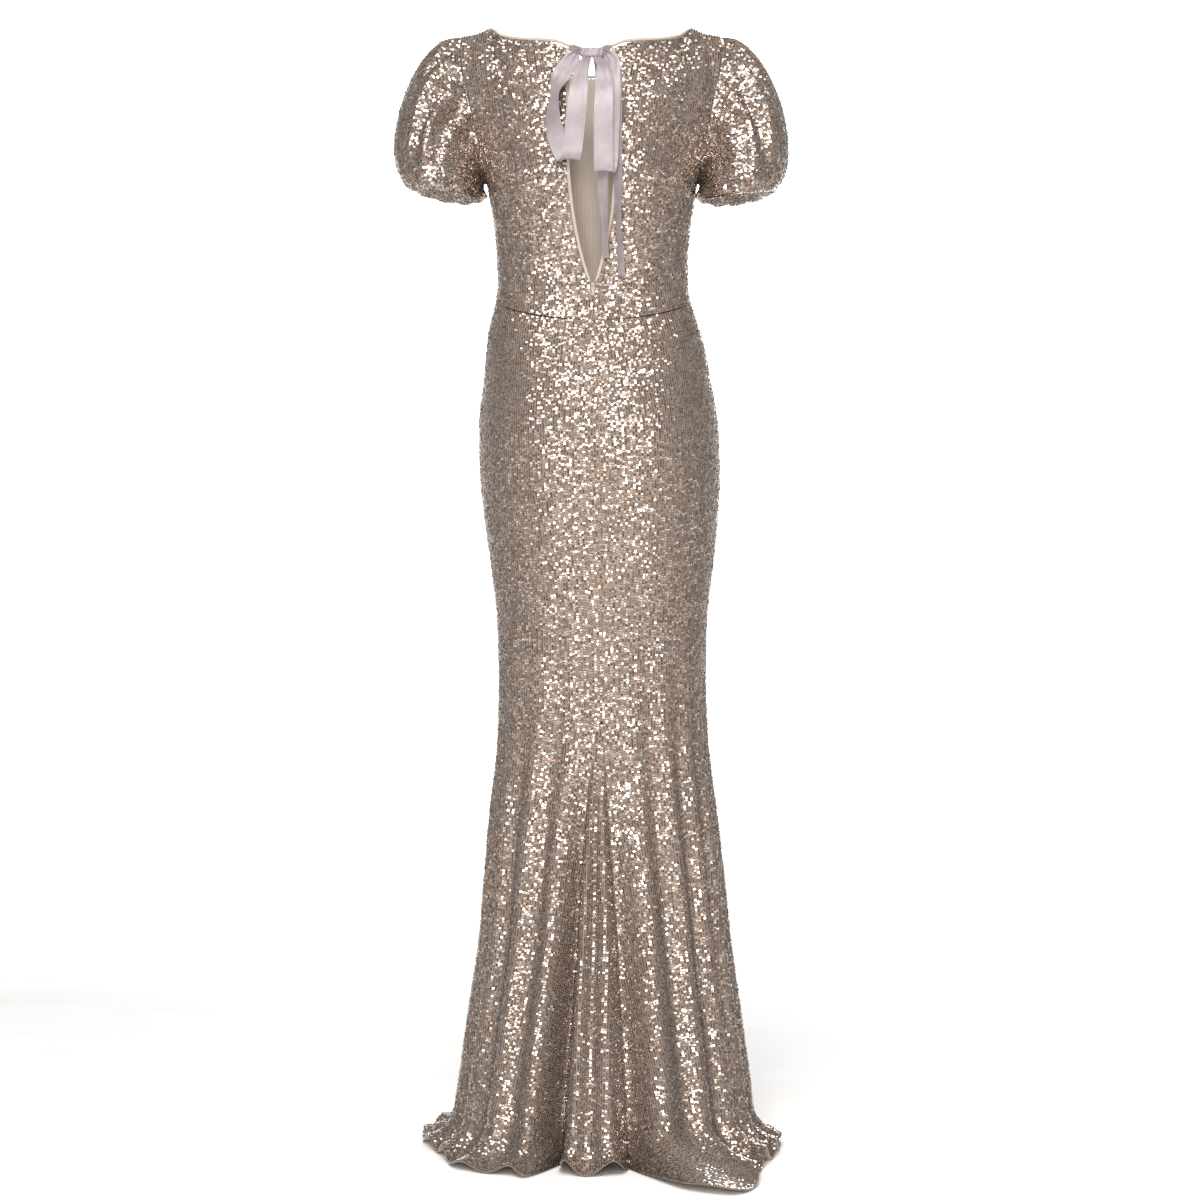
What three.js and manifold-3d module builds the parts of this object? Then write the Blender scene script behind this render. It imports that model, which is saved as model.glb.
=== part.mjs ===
// A long fitted evening dress seen worn and hollow: short puff sleeves, a keyhole back closed by a
// ribbon bow, a centre-back zip and a trumpet skirt whose hem lies on the floor in waves.
// Millimetres. +Z is up, the front faces -Y, the wearer's left is +X. Sizes are worked out as
// heights above the floor, and the group is lowered at the end so that its origin is midway
// between the two shoulder points at the neck, where the dress hangs from its wearer.
import * as THREE from 'three';
import { mergeVertices } from 'three/addons/utils/BufferGeometryUtils.js';
import Module from 'manifold-3d';

const kernel = await Module();
kernel.setup();

// Driving dimensions
const SHOULDER_HEIGHT = 1500;
const SHOULDER_MIDDLE = 8.5; // how far the middle of the shoulders lies to the wearer's left
const CLOTH = 2; // wall of the sequinned cloth with its lining
const RIBBON = 1; // wall of the satin ribbon
const GAP = 0.3; // between pieces that are sewn together
const ROUNDNESS = 2.2; // power of the oval that a level section of the body follows

const ARMHOLE_BASE = 1296;
const SHOULDER_TIP = 1495;
const ARMHOLE_HALF_DEPTH = 40;
const NECK_SHARE = 0.78; // where the shoulder seam starts, as a share of the half width
const SHOULDER_ROLL = 92; // height over which the shoulder turns into the back and the chest

const KEYHOLE_BASE = 1157;
const KEYHOLE_TALL = 160;
const KEYHOLE_HALF_WIDTH = 29;
const ZIP_GAP = 2.5; // half of the opening at the top of the zip
const ZIP_CLOSED = 1100; // below here the zip's edges meet
const ZIP_END = 905;
const BINDING = 4; // width of the bound edges

const SIDE_WAIST = 1135;
const BACK_WAIST_DROP = 30; // how much lower the waist seam is at the centre back
const GODET_TOP = 572;
const GODET_LEFT = 76; // reach of the godet from the centre back at the floor
const GODET_RIGHT = 41;
const FOOT_TOP = 62; // below here the skirt turns outward onto the floor

const colour = (hex, roughness, metalness) =>
  new THREE.MeshStandardMaterial({ color: hex, roughness, metalness });
const sequinCloth = colour(0x9f8e83, 0.35, 0.55);
const satin = colour(0xa99d9d, 0.4, 0.0);
const bindingCloth = colour(0xb9a491, 0.8, 0.0);
const zipTapeCloth = colour(0xb09a86, 0.85, 0.0);
const zipMetal = colour(0xc9beb2, 0.4, 0.6);

// Level sections of the body, from the shoulder to the foot of the skirt. sway is how far the
// middle lies to the wearer's left.
const BODY = [
  { height: 1510, halfWidth: 175, back: 58, front: 60, sway: 8.5 },
  { height: 1472, halfWidth: 177, back: 72, front: 76, sway: 8.5 },
  { height: 1440, halfWidth: 173, back: 84, front: 86, sway: 8.5 },
  { height: 1400, halfWidth: 165, back: 92, front: 96, sway: 8 },
  { height: 1350, halfWidth: 154, back: 95, front: 106, sway: 7.5 },
  { height: 1300, halfWidth: 143, back: 93, front: 112, sway: 7 },
  { height: 1250, halfWidth: 134.5, back: 85, front: 113, sway: 6 },
  { height: 1200, halfWidth: 129.5, back: 75.5, front: 107, sway: 6 },
  { height: 1160, halfWidth: 128.5, back: 70.5, front: 96, sway: 5.5 },
  { height: 1138, halfWidth: 131.5, back: 70.5, front: 92.5, sway: 5 },
  { height: 1104, halfWidth: 141, back: 77, front: 95, sway: 4 },
  { height: 1070, halfWidth: 148, back: 91, front: 99, sway: 1.5 },
  { height: 1028, halfWidth: 153.5, back: 107, front: 102, sway: -0.5 },
  { height: 965, halfWidth: 162, back: 122, front: 101, sway: -2.5 },
  { height: 908, halfWidth: 162.5, back: 121, front: 99, sway: -4 },
  { height: 850, halfWidth: 158.5, back: 113, front: 97, sway: -5.5 },
  { height: 776, halfWidth: 150, back: 100, front: 95, sway: -7 },
  { height: 700, halfWidth: 142, back: 90, front: 92.5, sway: -7 },
  { height: 620, halfWidth: 141, back: 84, front: 92, sway: -7 },
  { height: 540, halfWidth: 144, back: 86, front: 94, sway: -7.5 },
  { height: 450, halfWidth: 155, back: 97, front: 102, sway: -8 },
  { height: 352, halfWidth: 164.5, back: 120, front: 114, sway: -9.5 },
  { height: 270, halfWidth: 172, back: 149, front: 126, sway: -10.5 },
  { height: 190, halfWidth: 183.5, back: 187, front: 139, sway: -10 },
  { height: 110, halfWidth: 194.5, back: 234, front: 152, sway: -10 },
  { height: 54, halfWidth: 202, back: 270, front: 160, sway: -9 },
];

// Top edges from the centre to the shoulder tip. share is the distance across as a share of the
// half width, level is the height of the edge and out is how far it lies behind or in front.
const BACK_NECK = [
  { share: 0, level: 1472, out: 71 },
  { share: 0.16, level: 1473, out: 69 },
  { share: 0.29, level: 1482, out: 59 },
  { share: 0.55, level: 1489, out: 32 },
  { share: 0.7, level: 1497, out: 12 },
  { share: NECK_SHARE, level: 1507, out: 0 },
  { share: 0.86, level: 1500, out: 0 },
  { share: 1, level: SHOULDER_TIP, out: 0 },
];
const FRONT_NECK = [
  { share: 0, level: 1455, out: 81 },
  { share: 0.25, level: 1459, out: 74 },
  { share: 0.5, level: 1472, out: 48 },
  { share: 0.68, level: 1492, out: 16 },
  { share: NECK_SHARE, level: 1507, out: 0 },
  { share: 0.86, level: 1500, out: 0 },
  { share: 1, level: SHOULDER_TIP, out: 0 },
];

// Heights of the rows of points down the skirt. The first follows the waist seam.
const SKIRT_LEVELS = [
  1135, 1088, 1035, 975, 905, 830, 745, 655, GODET_TOP, 567, 505, 440, 372, 302, 232, 162, 108, FOOT_TOP,
];
const FOOT_STEPS = [0.3, 0.62, 1]; // from the foot of the wall to the hem

// The hem on the floor by skirt piece. along runs from the seam nearer the centre back to the
// next one, and from the wearer's right to left for the godet. reach is measured from the
// skirt's middle, and lift is how high the hem's waves stand.
const HEM = {
  skirt_back_left: [
    { along: 0, reach: 200, lift: 5 },
    { along: 0.055, reach: 318, lift: 5 },
    { along: 0.14, reach: 308, lift: 12 },
    { along: 0.38, reach: 304, lift: 10 },
    { along: 0.55, reach: 272, lift: 16 },
    { along: 0.8, reach: 244, lift: 18 },
    { along: 1, reach: 245, lift: 5 },
  ],
  skirt_back_right: [
    { along: 0, reach: 232, lift: 5 },
    { along: 0.05, reach: 303, lift: 16 },
    { along: 0.11, reach: 408, lift: 12 },
    { along: 0.2, reach: 450, lift: 8 },
    { along: 0.3, reach: 413, lift: 16 },
    { along: 0.42, reach: 340, lift: 18 },
    { along: 0.6, reach: 283, lift: 22 },
    { along: 0.9, reach: 243, lift: 18 },
    { along: 1, reach: 238, lift: 5 },
  ],
  back_godet: [
    { along: 0, reach: 232, lift: 5 },
    { along: 0.2, reach: 284, lift: 18 },
    { along: 0.5, reach: 290, lift: 10 },
    { along: 0.78, reach: 282, lift: 18 },
    { along: 1, reach: 200, lift: 5 },
  ],
  skirt_front: [
    { along: 0, reach: 238, lift: 5 },
    { along: 0.14, reach: 234, lift: 14 },
    { along: 0.3, reach: 248, lift: 16 },
    { along: 0.5, reach: 236, lift: 12 },
    { along: 0.7, reach: 258, lift: 16 },
    { along: 0.86, reach: 254, lift: 14 },
    { along: 1, reach: 245, lift: 5 },
  ],
};

const clamp = (value, low = 0, high = 1) => Math.min(high, Math.max(low, value));
const mix = (a, b, t) => a + (b - a) * t;
const smooth = (t) => clamp(t) * clamp(t) * (3 - 2 * clamp(t));
const steps = (count) => Array.from({ length: count + 1 }, (_, i) => i / count);
const point = (x, y, z) => new THREE.Vector3(x, y, z);

// A smooth curve through one column of a table, with no overshoot between its rows.
function lookup(rows, key, column, at) {
  const up = rows[1][key] > rows[0][key];
  const sorted = up ? rows : [...rows].reverse();
  const last = sorted.length - 1;
  if (at <= sorted[0][key]) return sorted[0][column];
  if (at >= sorted[last][key]) return sorted[last][column];
  const i = sorted.findIndex((row) => row[key] > at) - 1;
  const slope = (j) => (sorted[j + 1][column] - sorted[j][column]) / (sorted[j + 1][key] - sorted[j][key]);
  const tangent = (j) => {
    if (j === 0) return slope(0);
    if (j === last) return slope(last - 1);
    const [before, after] = [slope(j - 1), slope(j)];
    return before * after > 0 ? (2 * before * after) / (before + after) : 0;
  };
  const span = sorted[i + 1][key] - sorted[i][key];
  const t = (at - sorted[i][key]) / span;
  const rise = t * t * (3 - 2 * t);
  return (
    mix(sorted[i][column], sorted[i + 1][column], rise) +
    span * t * (1 - t) * ((1 - t) * tangent(i) - t * tangent(i + 1))
  );
}

const body = (column, height) => lookup(BODY, 'height', column, height);

// A closed wall from rows of outer and inner points. A wall that is closed round has no end rims.
function wallFromRows(outer, inner, round = false) {
  const rows = outer.length;
  const columns = outer[0].length;
  const positions = [...outer.flat(), ...inner.flat()].flatMap((p) => [p.x, p.y, p.z]);
  const id = (layer, r, c) => layer * rows * columns + r * columns + (c % columns);
  const faces = [];
  const quad = (a, b, c, d) => faces.push(a, b, c, a, c, d);
  const across = round ? columns : columns - 1;
  for (let c = 0; c < across; c += 1) {
    for (let r = 0; r < rows - 1; r += 1) {
      quad(id(0, r, c), id(0, r, c + 1), id(0, r + 1, c + 1), id(0, r + 1, c));
      quad(id(1, r, c), id(1, r + 1, c), id(1, r + 1, c + 1), id(1, r, c + 1));
    }
    quad(id(0, 0, c), id(1, 0, c), id(1, 0, c + 1), id(0, 0, c + 1));
    quad(id(0, rows - 1, c), id(0, rows - 1, c + 1), id(1, rows - 1, c + 1), id(1, rows - 1, c));
  }
  if (!round) {
    for (let r = 0; r < rows - 1; r += 1) {
      quad(id(0, r, 0), id(0, r + 1, 0), id(1, r + 1, 0), id(1, r, 0));
      const c = columns - 1;
      quad(id(0, r, c), id(1, r, c), id(1, r + 1, c), id(0, r + 1, c));
    }
  }
  const geometry = new THREE.BufferGeometry();
  geometry.setAttribute('position', new THREE.Float32BufferAttribute(positions, 3));
  geometry.setIndex(volumeOf(positions, faces) < 0 ? faces.reverse() : faces);
  geometry.computeVertexNormals();
  return geometry;
}

function volumeOf(positions, faces) {
  const at = (i) => point(positions[3 * i], positions[3 * i + 1], positions[3 * i + 2]);
  let volume = 0;
  for (let i = 0; i < faces.length; i += 3) {
    volume += at(faces[i]).dot(at(faces[i + 1]).cross(at(faces[i + 2]))) / 6;
  }
  return volume;
}

// The direction out of a surface given as a function of two shares from 0 to 1.
function normalAt(surface, u, v, outward, open) {
  const step = 0.004;
  const [low, high] = open ? [u - step, u + step] : [Math.max(0, u - step), Math.min(1, u + step)];
  const along = surface(high, v).sub(surface(low, v));
  const down = surface(u, Math.min(1, v + step)).sub(surface(u, Math.max(0, v - step)));
  const normal = along.cross(down).normalize();
  return normal.multiplyScalar(outward);
}

// Outer and inner rows of a wall on a surface. lift moves it off the surface, and open says that
// the surface goes on past its side edges.
function layers(surface, us, vs, { wall = CLOTH, lift = 0, outward = 1, open = false } = {}) {
  const outer = [];
  const inner = [];
  for (const v of vs) {
    const [outside, inside] = [[], []];
    for (const u of us) {
      const normal = normalAt(surface, u, v, outward, open);
      outside.push(surface(u, v).addScaledVector(normal, lift));
      inside.push(surface(u, v).addScaledVector(normal, lift - wall));
    }
    outer.push(outside);
    inner.push(inside);
  }
  return { outer, inner };
}

function panel(surface, us, vs, options) {
  const { outer, inner } = layers(surface, us, vs, options);
  return wallFromRows(outer, inner);
}

// A bodice panel, kept on its own side of the shoulder and side seams.
function bodicePanel(face, surface, us, vs, outward) {
  const { outer, inner } = layers(surface, us, vs, { outward });
  inner.flat().forEach((p) => p.setY(face * Math.max(face * p.y, GAP / 2)));
  return wallFromRows(outer, inner);
}

// The body above the waist. face is +1 for the back and -1 for the front, and share runs from
// the centre to the side.
const neckOf = (face) => (face > 0 ? BACK_NECK : FRONT_NECK);
const topLevel = (face, share) => lookup(neckOf(face), 'share', 'level', share);

function bust(share, height) {
  const across = share * body('halfWidth', height);
  return 13 * Math.exp(-(((across - 74) / 40) ** 2) - ((height - 1242) / 52) ** 2);
}

function bodiceDepth(face, share, height) {
  const edge = clamp((height - ARMHOLE_BASE) / (SHOULDER_TIP - ARMHOLE_BASE));
  const armhole = ARMHOLE_HALF_DEPTH * 2 * Math.sqrt(edge * (1 - edge));
  const power = mix(1 / ROUNDNESS, 1.05, smooth(edge / 0.28));
  const full = body(face > 0 ? 'back' : 'front', height);
  const oval = (1 - Math.min(1, share) ** ROUNDNESS) ** power;
  const chest = face > 0 ? 0 : bust(share, height);
  const below = armhole + (full - armhole) * oval + chest;
  const top = lookup(neckOf(face), 'share', 'out', share);
  const drop = clamp((topLevel(face, share) - height) / SHOULDER_ROLL);
  return mix(top, below, Math.sqrt(1 - (1 - drop) ** 2));
}

function bodicePoint(face, side, share, height) {
  const x = body('sway', height) + side * share * body('halfWidth', height);
  return point(x, face * bodiceDepth(face, share, height), height);
}

// The waist seam dips toward the centre back. turn is the angle from the centre back.
const waistLevel = (turn) => SIDE_WAIST - BACK_WAIST_DROP * Math.max(0, Math.cos(turn)) ** 1.5;

// Half width of the opening at the centre back: the keyhole, then the zip's edges.
function keyholeHalfWidth(height) {
  const up = clamp((height - KEYHOLE_BASE) / KEYHOLE_TALL);
  const zip = mix(GAP / 2, ZIP_GAP, smooth((height - ZIP_CLOSED) / (KEYHOLE_BASE - ZIP_CLOSED)));
  return zip + (KEYHOLE_HALF_WIDTH - ZIP_GAP) * (1 - (1 - up) ** 2);
}

// How much of the bound edge's width there is at a height beside the keyhole.
const bindingShare = (height) => clamp((height - KEYHOLE_BASE + 10) / 16);

// Rows of the bodice, as heights at the centre back. The row at 1267 meets the armhole's base at
// the side seam, and the closest rows shape the zip's top and the shoulder.
const BODICE_LEVELS = [
  1105, 1126, 1147, 1157, 1172, 1196, 1232, 1267, 1280, 1317, 1365, 1405, 1434, 1453, 1463, 1468,
];
const [BODICE_LOW, BODICE_HIGH] = [BODICE_LEVELS[0], BODICE_LEVELS.at(-1)];
const BODICE_ROWS = BODICE_LEVELS.map((level) => (level - BODICE_LOW) / (BODICE_HIGH - BODICE_LOW));
const ARMHOLE_ROW = BODICE_LEVELS.indexOf(1267);
const BACK_COLUMNS = steps(9);
const FRONT_COLUMNS = steps(18);

// The neck edge is bound as far as the shoulder seam, where the binding narrows.
const boundShare = (share) => (share < 0.74 ? 1 : 0.35 * (share < 0.81));
const shareOf = (u) => Math.sin((u * Math.PI) / 2) ** (2 / ROUNDNESS);
const NECK_CORNER = (KEYHOLE_HALF_WIDTH + BINDING) / body('halfWidth', BODICE_HIGH);

// Share of the way from the keyhole's edge to the side. From the third column on, the columns
// meet those of the front at the shoulder.
function backSweep(u) {
  const second = 2 / 9;
  const share = u < second ? mix(NECK_CORNER, shareOf(second), u / second) : shareOf(u);
  return (share - NECK_CORNER) / (1 - NECK_CORNER);
}

// One half of the back bodice. u runs from the centre back to the side seam and armhole, and v
// from the waist seam to the neck and shoulder. The insets leave room for the bound edges.
function backPoint(side, u, v, neckInset = BINDING + 2 * GAP, keyholeInset = BINDING + GAP) {
  const sweep = backSweep(u);
  const neckShare = mix(NECK_CORNER, 1, sweep);
  const top = topLevel(1, neckShare) - neckInset * boundShare(neckShare);
  const low = waistLevel((u * Math.PI) / 2) + GAP / 2;
  const height = mix(low, top, v);
  const edge = keyholeHalfWidth(height) + keyholeInset * bindingShare(height);
  const share = mix(edge / body('halfWidth', height), 1, sweep);
  const p = bodicePoint(1, side, share, height);
  p.y = Math.max(p.y, 0) + GAP / 2;
  return p;
}

// The front bodice. u runs from the wearer's right to left.
function frontPoint(u, v, neckInset = BINDING + 2 * GAP) {
  const turn = (2 * u - 1) * (Math.PI / 2);
  const share = Math.abs(Math.sin(turn)) ** (2 / ROUNDNESS);
  const top = topLevel(-1, share) - neckInset * boundShare(share);
  const height = mix(SIDE_WAIST + GAP / 2, top, v);
  const p = bodicePoint(-1, Math.sign(turn), share, height);
  p.y = Math.min(p.y, 0) - GAP / 2;
  return p;
}

const BOUND_EDGE = { wall: 2.4, lift: 0.2 };

// Strips that carry on a panel's surface past its edge, with the same corners as the panel.
function backNeckBinding(side) {
  const columns = BACK_COLUMNS.filter((u) => boundShare(shareOf(u)) > 0);
  const surface = (u, v) => backPoint(side, u, 1, BINDING * (1 - v), 0);
  return panel(surface, columns, [0, 1], { ...BOUND_EDGE, outward: -side });
}

function frontNeckBinding() {
  const columns = FRONT_COLUMNS.filter((u) => boundShare(shareOf(Math.abs(2 * u - 1))) > 0);
  const surface = (u, v) => frontPoint(u, 1, BINDING * (1 - v));
  return panel(surface, columns, [0, 1], { ...BOUND_EDGE, outward: 1 });
}

function keyholeBinding(side) {
  const rows = BODICE_ROWS.filter((_, i) => BODICE_LEVELS[i] >= KEYHOLE_BASE);
  const surface = (u, v) => backPoint(side, 0, u, BINDING + 3 * GAP, BINDING * (1 - v));
  return panel(surface, rows, [0, 1], { ...BOUND_EDGE, outward: -side });
}

// Rows down the skirt, with the rise of the waist seam fading out over the hips.
function skirtLevel(level, turn) {
  const fade = smooth((level - 930) / (SIDE_WAIST - 930));
  return level + (waistLevel(turn) - SIDE_WAIST) * fade;
}

// Depth of the skirt's hanging folds.
const FOLDS = [
  { height: 740, depth: 0 },
  { height: GODET_TOP, depth: 3 },
  { height: 440, depth: 8 },
  { height: 302, depth: 12 },
  { height: 162, depth: 15 },
  { height: 0, depth: 18 },
];

const godetReach = (side, height) => {
  const down = clamp(1 - height / GODET_TOP);
  return side > 0 ? GODET_LEFT * down ** 0.7 : GODET_RIGHT * down;
};

function godetTurn(side, height) {
  const share = godetReach(side, height) / body('halfWidth', height);
  return side * Math.asin(share ** (ROUNDNESS / 2));
}

// The skirt's pieces. turnOf gives the angle from the centre back, and dips are the deep valleys
// at the godet's seams, by their depth at the floor and their width along the piece.
const SKIRT_PIECES = {
  skirt_back_left: {
    columns: 16,
    folds: 4,
    warp: 1,
    turnOf: (along, height) => mix(godetTurn(1, height), Math.PI / 2, along),
    dips: [{ at: 0, depth: 58, width: 0.1 }],
    outward: 1,
  },
  skirt_back_right: {
    columns: 20,
    folds: 5,
    warp: 1.25,
    turnOf: (along, height) => mix(godetTurn(-1, height), -Math.PI / 2, along),
    dips: [{ at: 0, depth: 36, width: 0.09 }],
    outward: -1,
  },
  back_godet: {
    columns: 9,
    folds: 2,
    warp: 1,
    turnOf: (along, height) => mix(godetTurn(-1, height), godetTurn(1, height), along),
    dips: [
      { at: 0, depth: 36, width: 0.2 },
      { at: 1, depth: 58, width: 0.2 },
    ],
    outward: 1,
    narrows: true,
  },
  skirt_front: {
    columns: 32,
    folds: 8,
    warp: 1,
    turnOf: (along) => -Math.PI / 2 - Math.PI * along,
    dips: [],
    outward: -1,
  },
};

const ridge = (piece, along) => {
  const place = Math.sign(along) * Math.abs(along) ** piece.warp;
  return (1 - Math.cos(2 * Math.PI * piece.folds * place)) / 2;
};

// A piece that narrows to a point upward has no folds there.
const fullness = (piece, height) => (piece.narrows ? smooth((GODET_TOP - height) / 260) : 1);

function skirtWall(piece, along, level) {
  const turn = piece.turnOf(along, level);
  const height = skirtLevel(level, turn);
  const power = 2 / ROUNDNESS;
  const [sine, cosine] = [Math.sin(turn), Math.cos(turn)];
  const x = Math.sign(sine) * Math.abs(sine) ** power * body('halfWidth', height);
  const depth = body(cosine > 0 ? 'back' : 'front', height);
  const y = Math.sign(cosine) * Math.abs(cosine) ** power * depth;
  const deep = Math.max(0, 1 - height / 540) ** 1.3;
  const dip = piece.dips.reduce(
    (sum, { at, depth: full, width }) => sum + full * Math.exp(-(((along - at) / width) ** 2)),
    0,
  );
  const wave = 1 - ridge(piece, along) * fullness(piece, height);
  const fold = lookup(FOLDS, 'height', 'depth', height) * wave + deep * dip;
  const out = point(x, y, 0).setLength(1);
  return point(body('sway', height) + x, y, height).addScaledVector(out, -fold);
}

const between = (list, place) => {
  const i = Math.min(list.length - 2, Math.floor(place));
  return mix(list[i], list[i + 1], place - i);
};

const HANGING = SKIRT_LEVELS.length - 1;
const SKIRT_ROWS = HANGING + FOOT_STEPS.length;

// Down the wall, then round a quarter of an oval onto the floor.
function skirtPoint(name, along, v) {
  const piece = SKIRT_PIECES[name];
  const place = v * SKIRT_ROWS;
  if (place <= HANGING) return skirtWall(piece, along, between(SKIRT_LEVELS, place));
  const start = skirtWall(piece, along, FOOT_TOP);
  const middle = point(body('sway', FOOT_TOP), 0, 0);
  const out = point(start.x - middle.x, start.y, 0);
  const radius = out.length();
  const bend = (Math.PI / 2) * between([0, ...FOOT_STEPS], place - HANGING);
  const reach = Math.max(radius + 6, lookup(HEM[name], 'along', 'reach', along));
  const lift = CLOTH + 1 + lookup(HEM[name], 'along', 'lift', along) * ridge(piece, along);
  out.setLength(radius + (reach - radius) * (1 - Math.cos(bend)));
  return middle.add(out).setZ(mix(FOOT_TOP, lift, Math.sin(bend)));
}

// Moves the end columns in by half a seam's gap.
function seamInset(rows) {
  for (const row of rows) {
    const last = row.length - 1;
    const first = row[1].clone().sub(row[0]).setLength(GAP / 2);
    const final = row[last - 1].clone().sub(row[last]).setLength(GAP / 2);
    row[0].add(first);
    row[last].add(final);
  }
}

function skirtPanel(name) {
  const piece = SKIRT_PIECES[name];
  const first = name === 'back_godet' ? SKIRT_LEVELS.indexOf(GODET_TOP) + 1 : 0;
  const vs = steps(SKIRT_ROWS).slice(first);
  const surface = (u, v) => skirtPoint(name, u, v);
  const { outer, inner } = layers(surface, steps(piece.columns), vs, {
    outward: piece.outward,
    open: true,
  });
  for (const rows of [outer, inner]) {
    seamInset(rows);
    if (first === 0) rows[0].forEach((p) => p.setZ(p.z - GAP / 2));
  }
  return wallFromRows(outer, inner);
}

// The sleeves. The ring of the armhole is taken from the edges of the bodice's own pieces: up
// the back from the underarm, then down the front.
const ARM = { across: 179, halfWidth: 37, halfDepth: 45, inner: 1278, outer: 1291 };
const LEFT_SLEEVE_RISE = 8; // the wearer's left sleeve is pushed a little higher
const SLEEVE_ROWS = [0, 0.06, 0.15, 0.28, 0.42, 0.56, 0.7, 0.84, 1];
const SLEEVE_GAP = 2 * GAP; // the armhole's corners need a little more room
const HEAD_GATHERS = 14;
const CUFF_GATHERS = 12;

function armholeRing(side) {
  const rows = BODICE_ROWS.slice(ARMHOLE_ROW);
  const back = layers((u, v) => backPoint(side, u, v), [1], rows, { outward: -side });
  const front = layers((u, v) => frontPoint(u, v), [side > 0 ? 1 : 0], rows, { outward: 1 });
  const corner = ({ outer, inner }, i, turn) => ({ outer: outer[i][0], inner: inner[i][0], turn });
  const turnOf = (p) => Math.acos(clamp(1 - (2 * (p.z - ARMHOLE_BASE)) / (SHOULDER_TIP - ARMHOLE_BASE), -1));
  const up = rows.map((_, i) => corner(back, i, turnOf(back.outer[i][0])));
  const down = rows.map((_, i) => corner(front, i, 2 * Math.PI - turnOf(front.outer[i][0]))).reverse();
  const halfway = (a, b, turn) => ({
    outer: a.outer.clone().lerp(b.outer, 0.5),
    inner: a.inner.clone().lerp(b.inner, 0.5),
    turn,
  });
  const top = halfway(up.at(-1), down[0], Math.PI);
  const base = halfway(up[0], down.at(-1), 0);
  return [base, ...up.slice(1, -1), top, ...down.slice(1, -1), { ...base, turn: 2 * Math.PI }];
}

// Splits the ring's longer sides, so that the gathers have enough corners.
function splitRing(ring, length) {
  const fine = [];
  for (let i = 0; i < ring.length - 1; i += 1) {
    const [a, b] = [ring[i], ring[i + 1]];
    const parts = Math.max(1, Math.round(a.outer.distanceTo(b.outer) / length));
    for (let j = 0; j < parts; j += 1) {
      fine.push({
        outer: a.outer.clone().lerp(b.outer, j / parts),
        inner: a.inner.clone().lerp(b.inner, j / parts),
        turn: mix(a.turn, b.turn, j / parts),
      });
    }
  }
  return fine;
}

function awayFrom(ring, i, side) {
  const before = ring[(i + ring.length - 1) % ring.length];
  const after = ring[(i + 1) % ring.length];
  const along = after.outer.clone().sub(before.outer);
  const normal = ring[i].outer.clone().sub(ring[i].inner);
  return normal.cross(along).setLength(side);
}

// One line of the sleeve from the armhole to the arm's opening, as a bent cubic.
function sleeveLine(start, away, turn, side) {
  const over = (1 - Math.cos(turn)) / 2;
  const round = Math.abs(Math.sin(turn));
  const face = Math.sign(Math.sin(turn));
  const sway = body('sway', 1400);
  const end = point(
    sway + side * (ARM.across - ARM.halfWidth * Math.cos(turn)),
    ARM.halfDepth * Math.sin(turn),
    mix(ARM.inner, ARM.outer, over) + (side > 0 ? LEFT_SLEEVE_RISE * over : 0),
  );
  const first = point(side * mix(9, 76, over), face * round * 16, mix(0, -11, over) + 8 * round);
  first.addScaledVector(away, mix(1, 12, over));
  const second = point(side * mix(2, 92, over), face * round * 72, mix(6, -38, over) - 34 * round);
  return new THREE.CubicBezierCurve3(start, start.clone().add(first), end.clone().add(second), end);
}

function sleeve(side) {
  const ring = splitRing(armholeRing(side), 10.5);
  const middle = new THREE.LineCurve3(
    point(body('sway', 1400) + side * 168, 0, 1396),
    point(body('sway', 1400) + side * ARM.across, 0, 1285),
  );
  const lines = ring.map(({ outer, turn }, i) => {
    const away = awayFrom(ring, i, side);
    return sleeveLine(outer.clone().addScaledVector(away, SLEEVE_GAP), away, turn, side);
  });
  const puffed = (i, v) => {
    const p = lines[i].getPoint(v);
    const { turn } = ring[i];
    const cap = smooth((1 - Math.cos(turn)) / 1.1);
    const head = Math.min(1, v / 0.09) * Math.exp(-(((v - 0.1) / 0.42) ** 2));
    const cuff = smooth((v - 0.55) / 0.3) * smooth((1.04 - v) / 0.12);
    const wave =
      4.6 * cap * head * Math.cos(HEAD_GATHERS * turn) + 2.2 * cuff * Math.cos(CUFF_GATHERS * turn + 1);
    const out = p.clone().sub(middle.getPoint(v)).setLength(1);
    return p.addScaledVector(out, wave * Math.min(1, v * 20));
  };
  const outer = SLEEVE_ROWS.map((v) => ring.map((_, i) => puffed(i, v)));
  const inner = outer.map((row, r) =>
    row.map((p, i) => {
      if (r === 0) return ring[i].inner.clone().addScaledVector(awayFrom(ring, i, side), SLEEVE_GAP);
      const next = outer[Math.min(outer.length - 1, r + 1)][i];
      const along = row[(i + 1) % row.length].clone().sub(row[(i + row.length - 1) % row.length]);
      const down = next.clone().sub(outer[r - 1][i]);
      return p.clone().addScaledVector(down.cross(along).setLength(side), CLOTH);
    }),
  );
  return wallFromRows(outer, inner, true);
}

// The zip: a tape behind its edges, with a slider at the top, just under the keyhole, and a pull
// tab that hangs from the slider's arch.
const TAPE_HALF_WIDTH = 9;
const SLIDER = { halfWidth: 2, base: 1147.5, top: 1156, archHalfWidth: 0.6 };
const PULL = { pivot: 1154, below: 16, halfWidth: 2, thickness: 0.9, out: 2.2, windowBelow: 4.2 };

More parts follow.
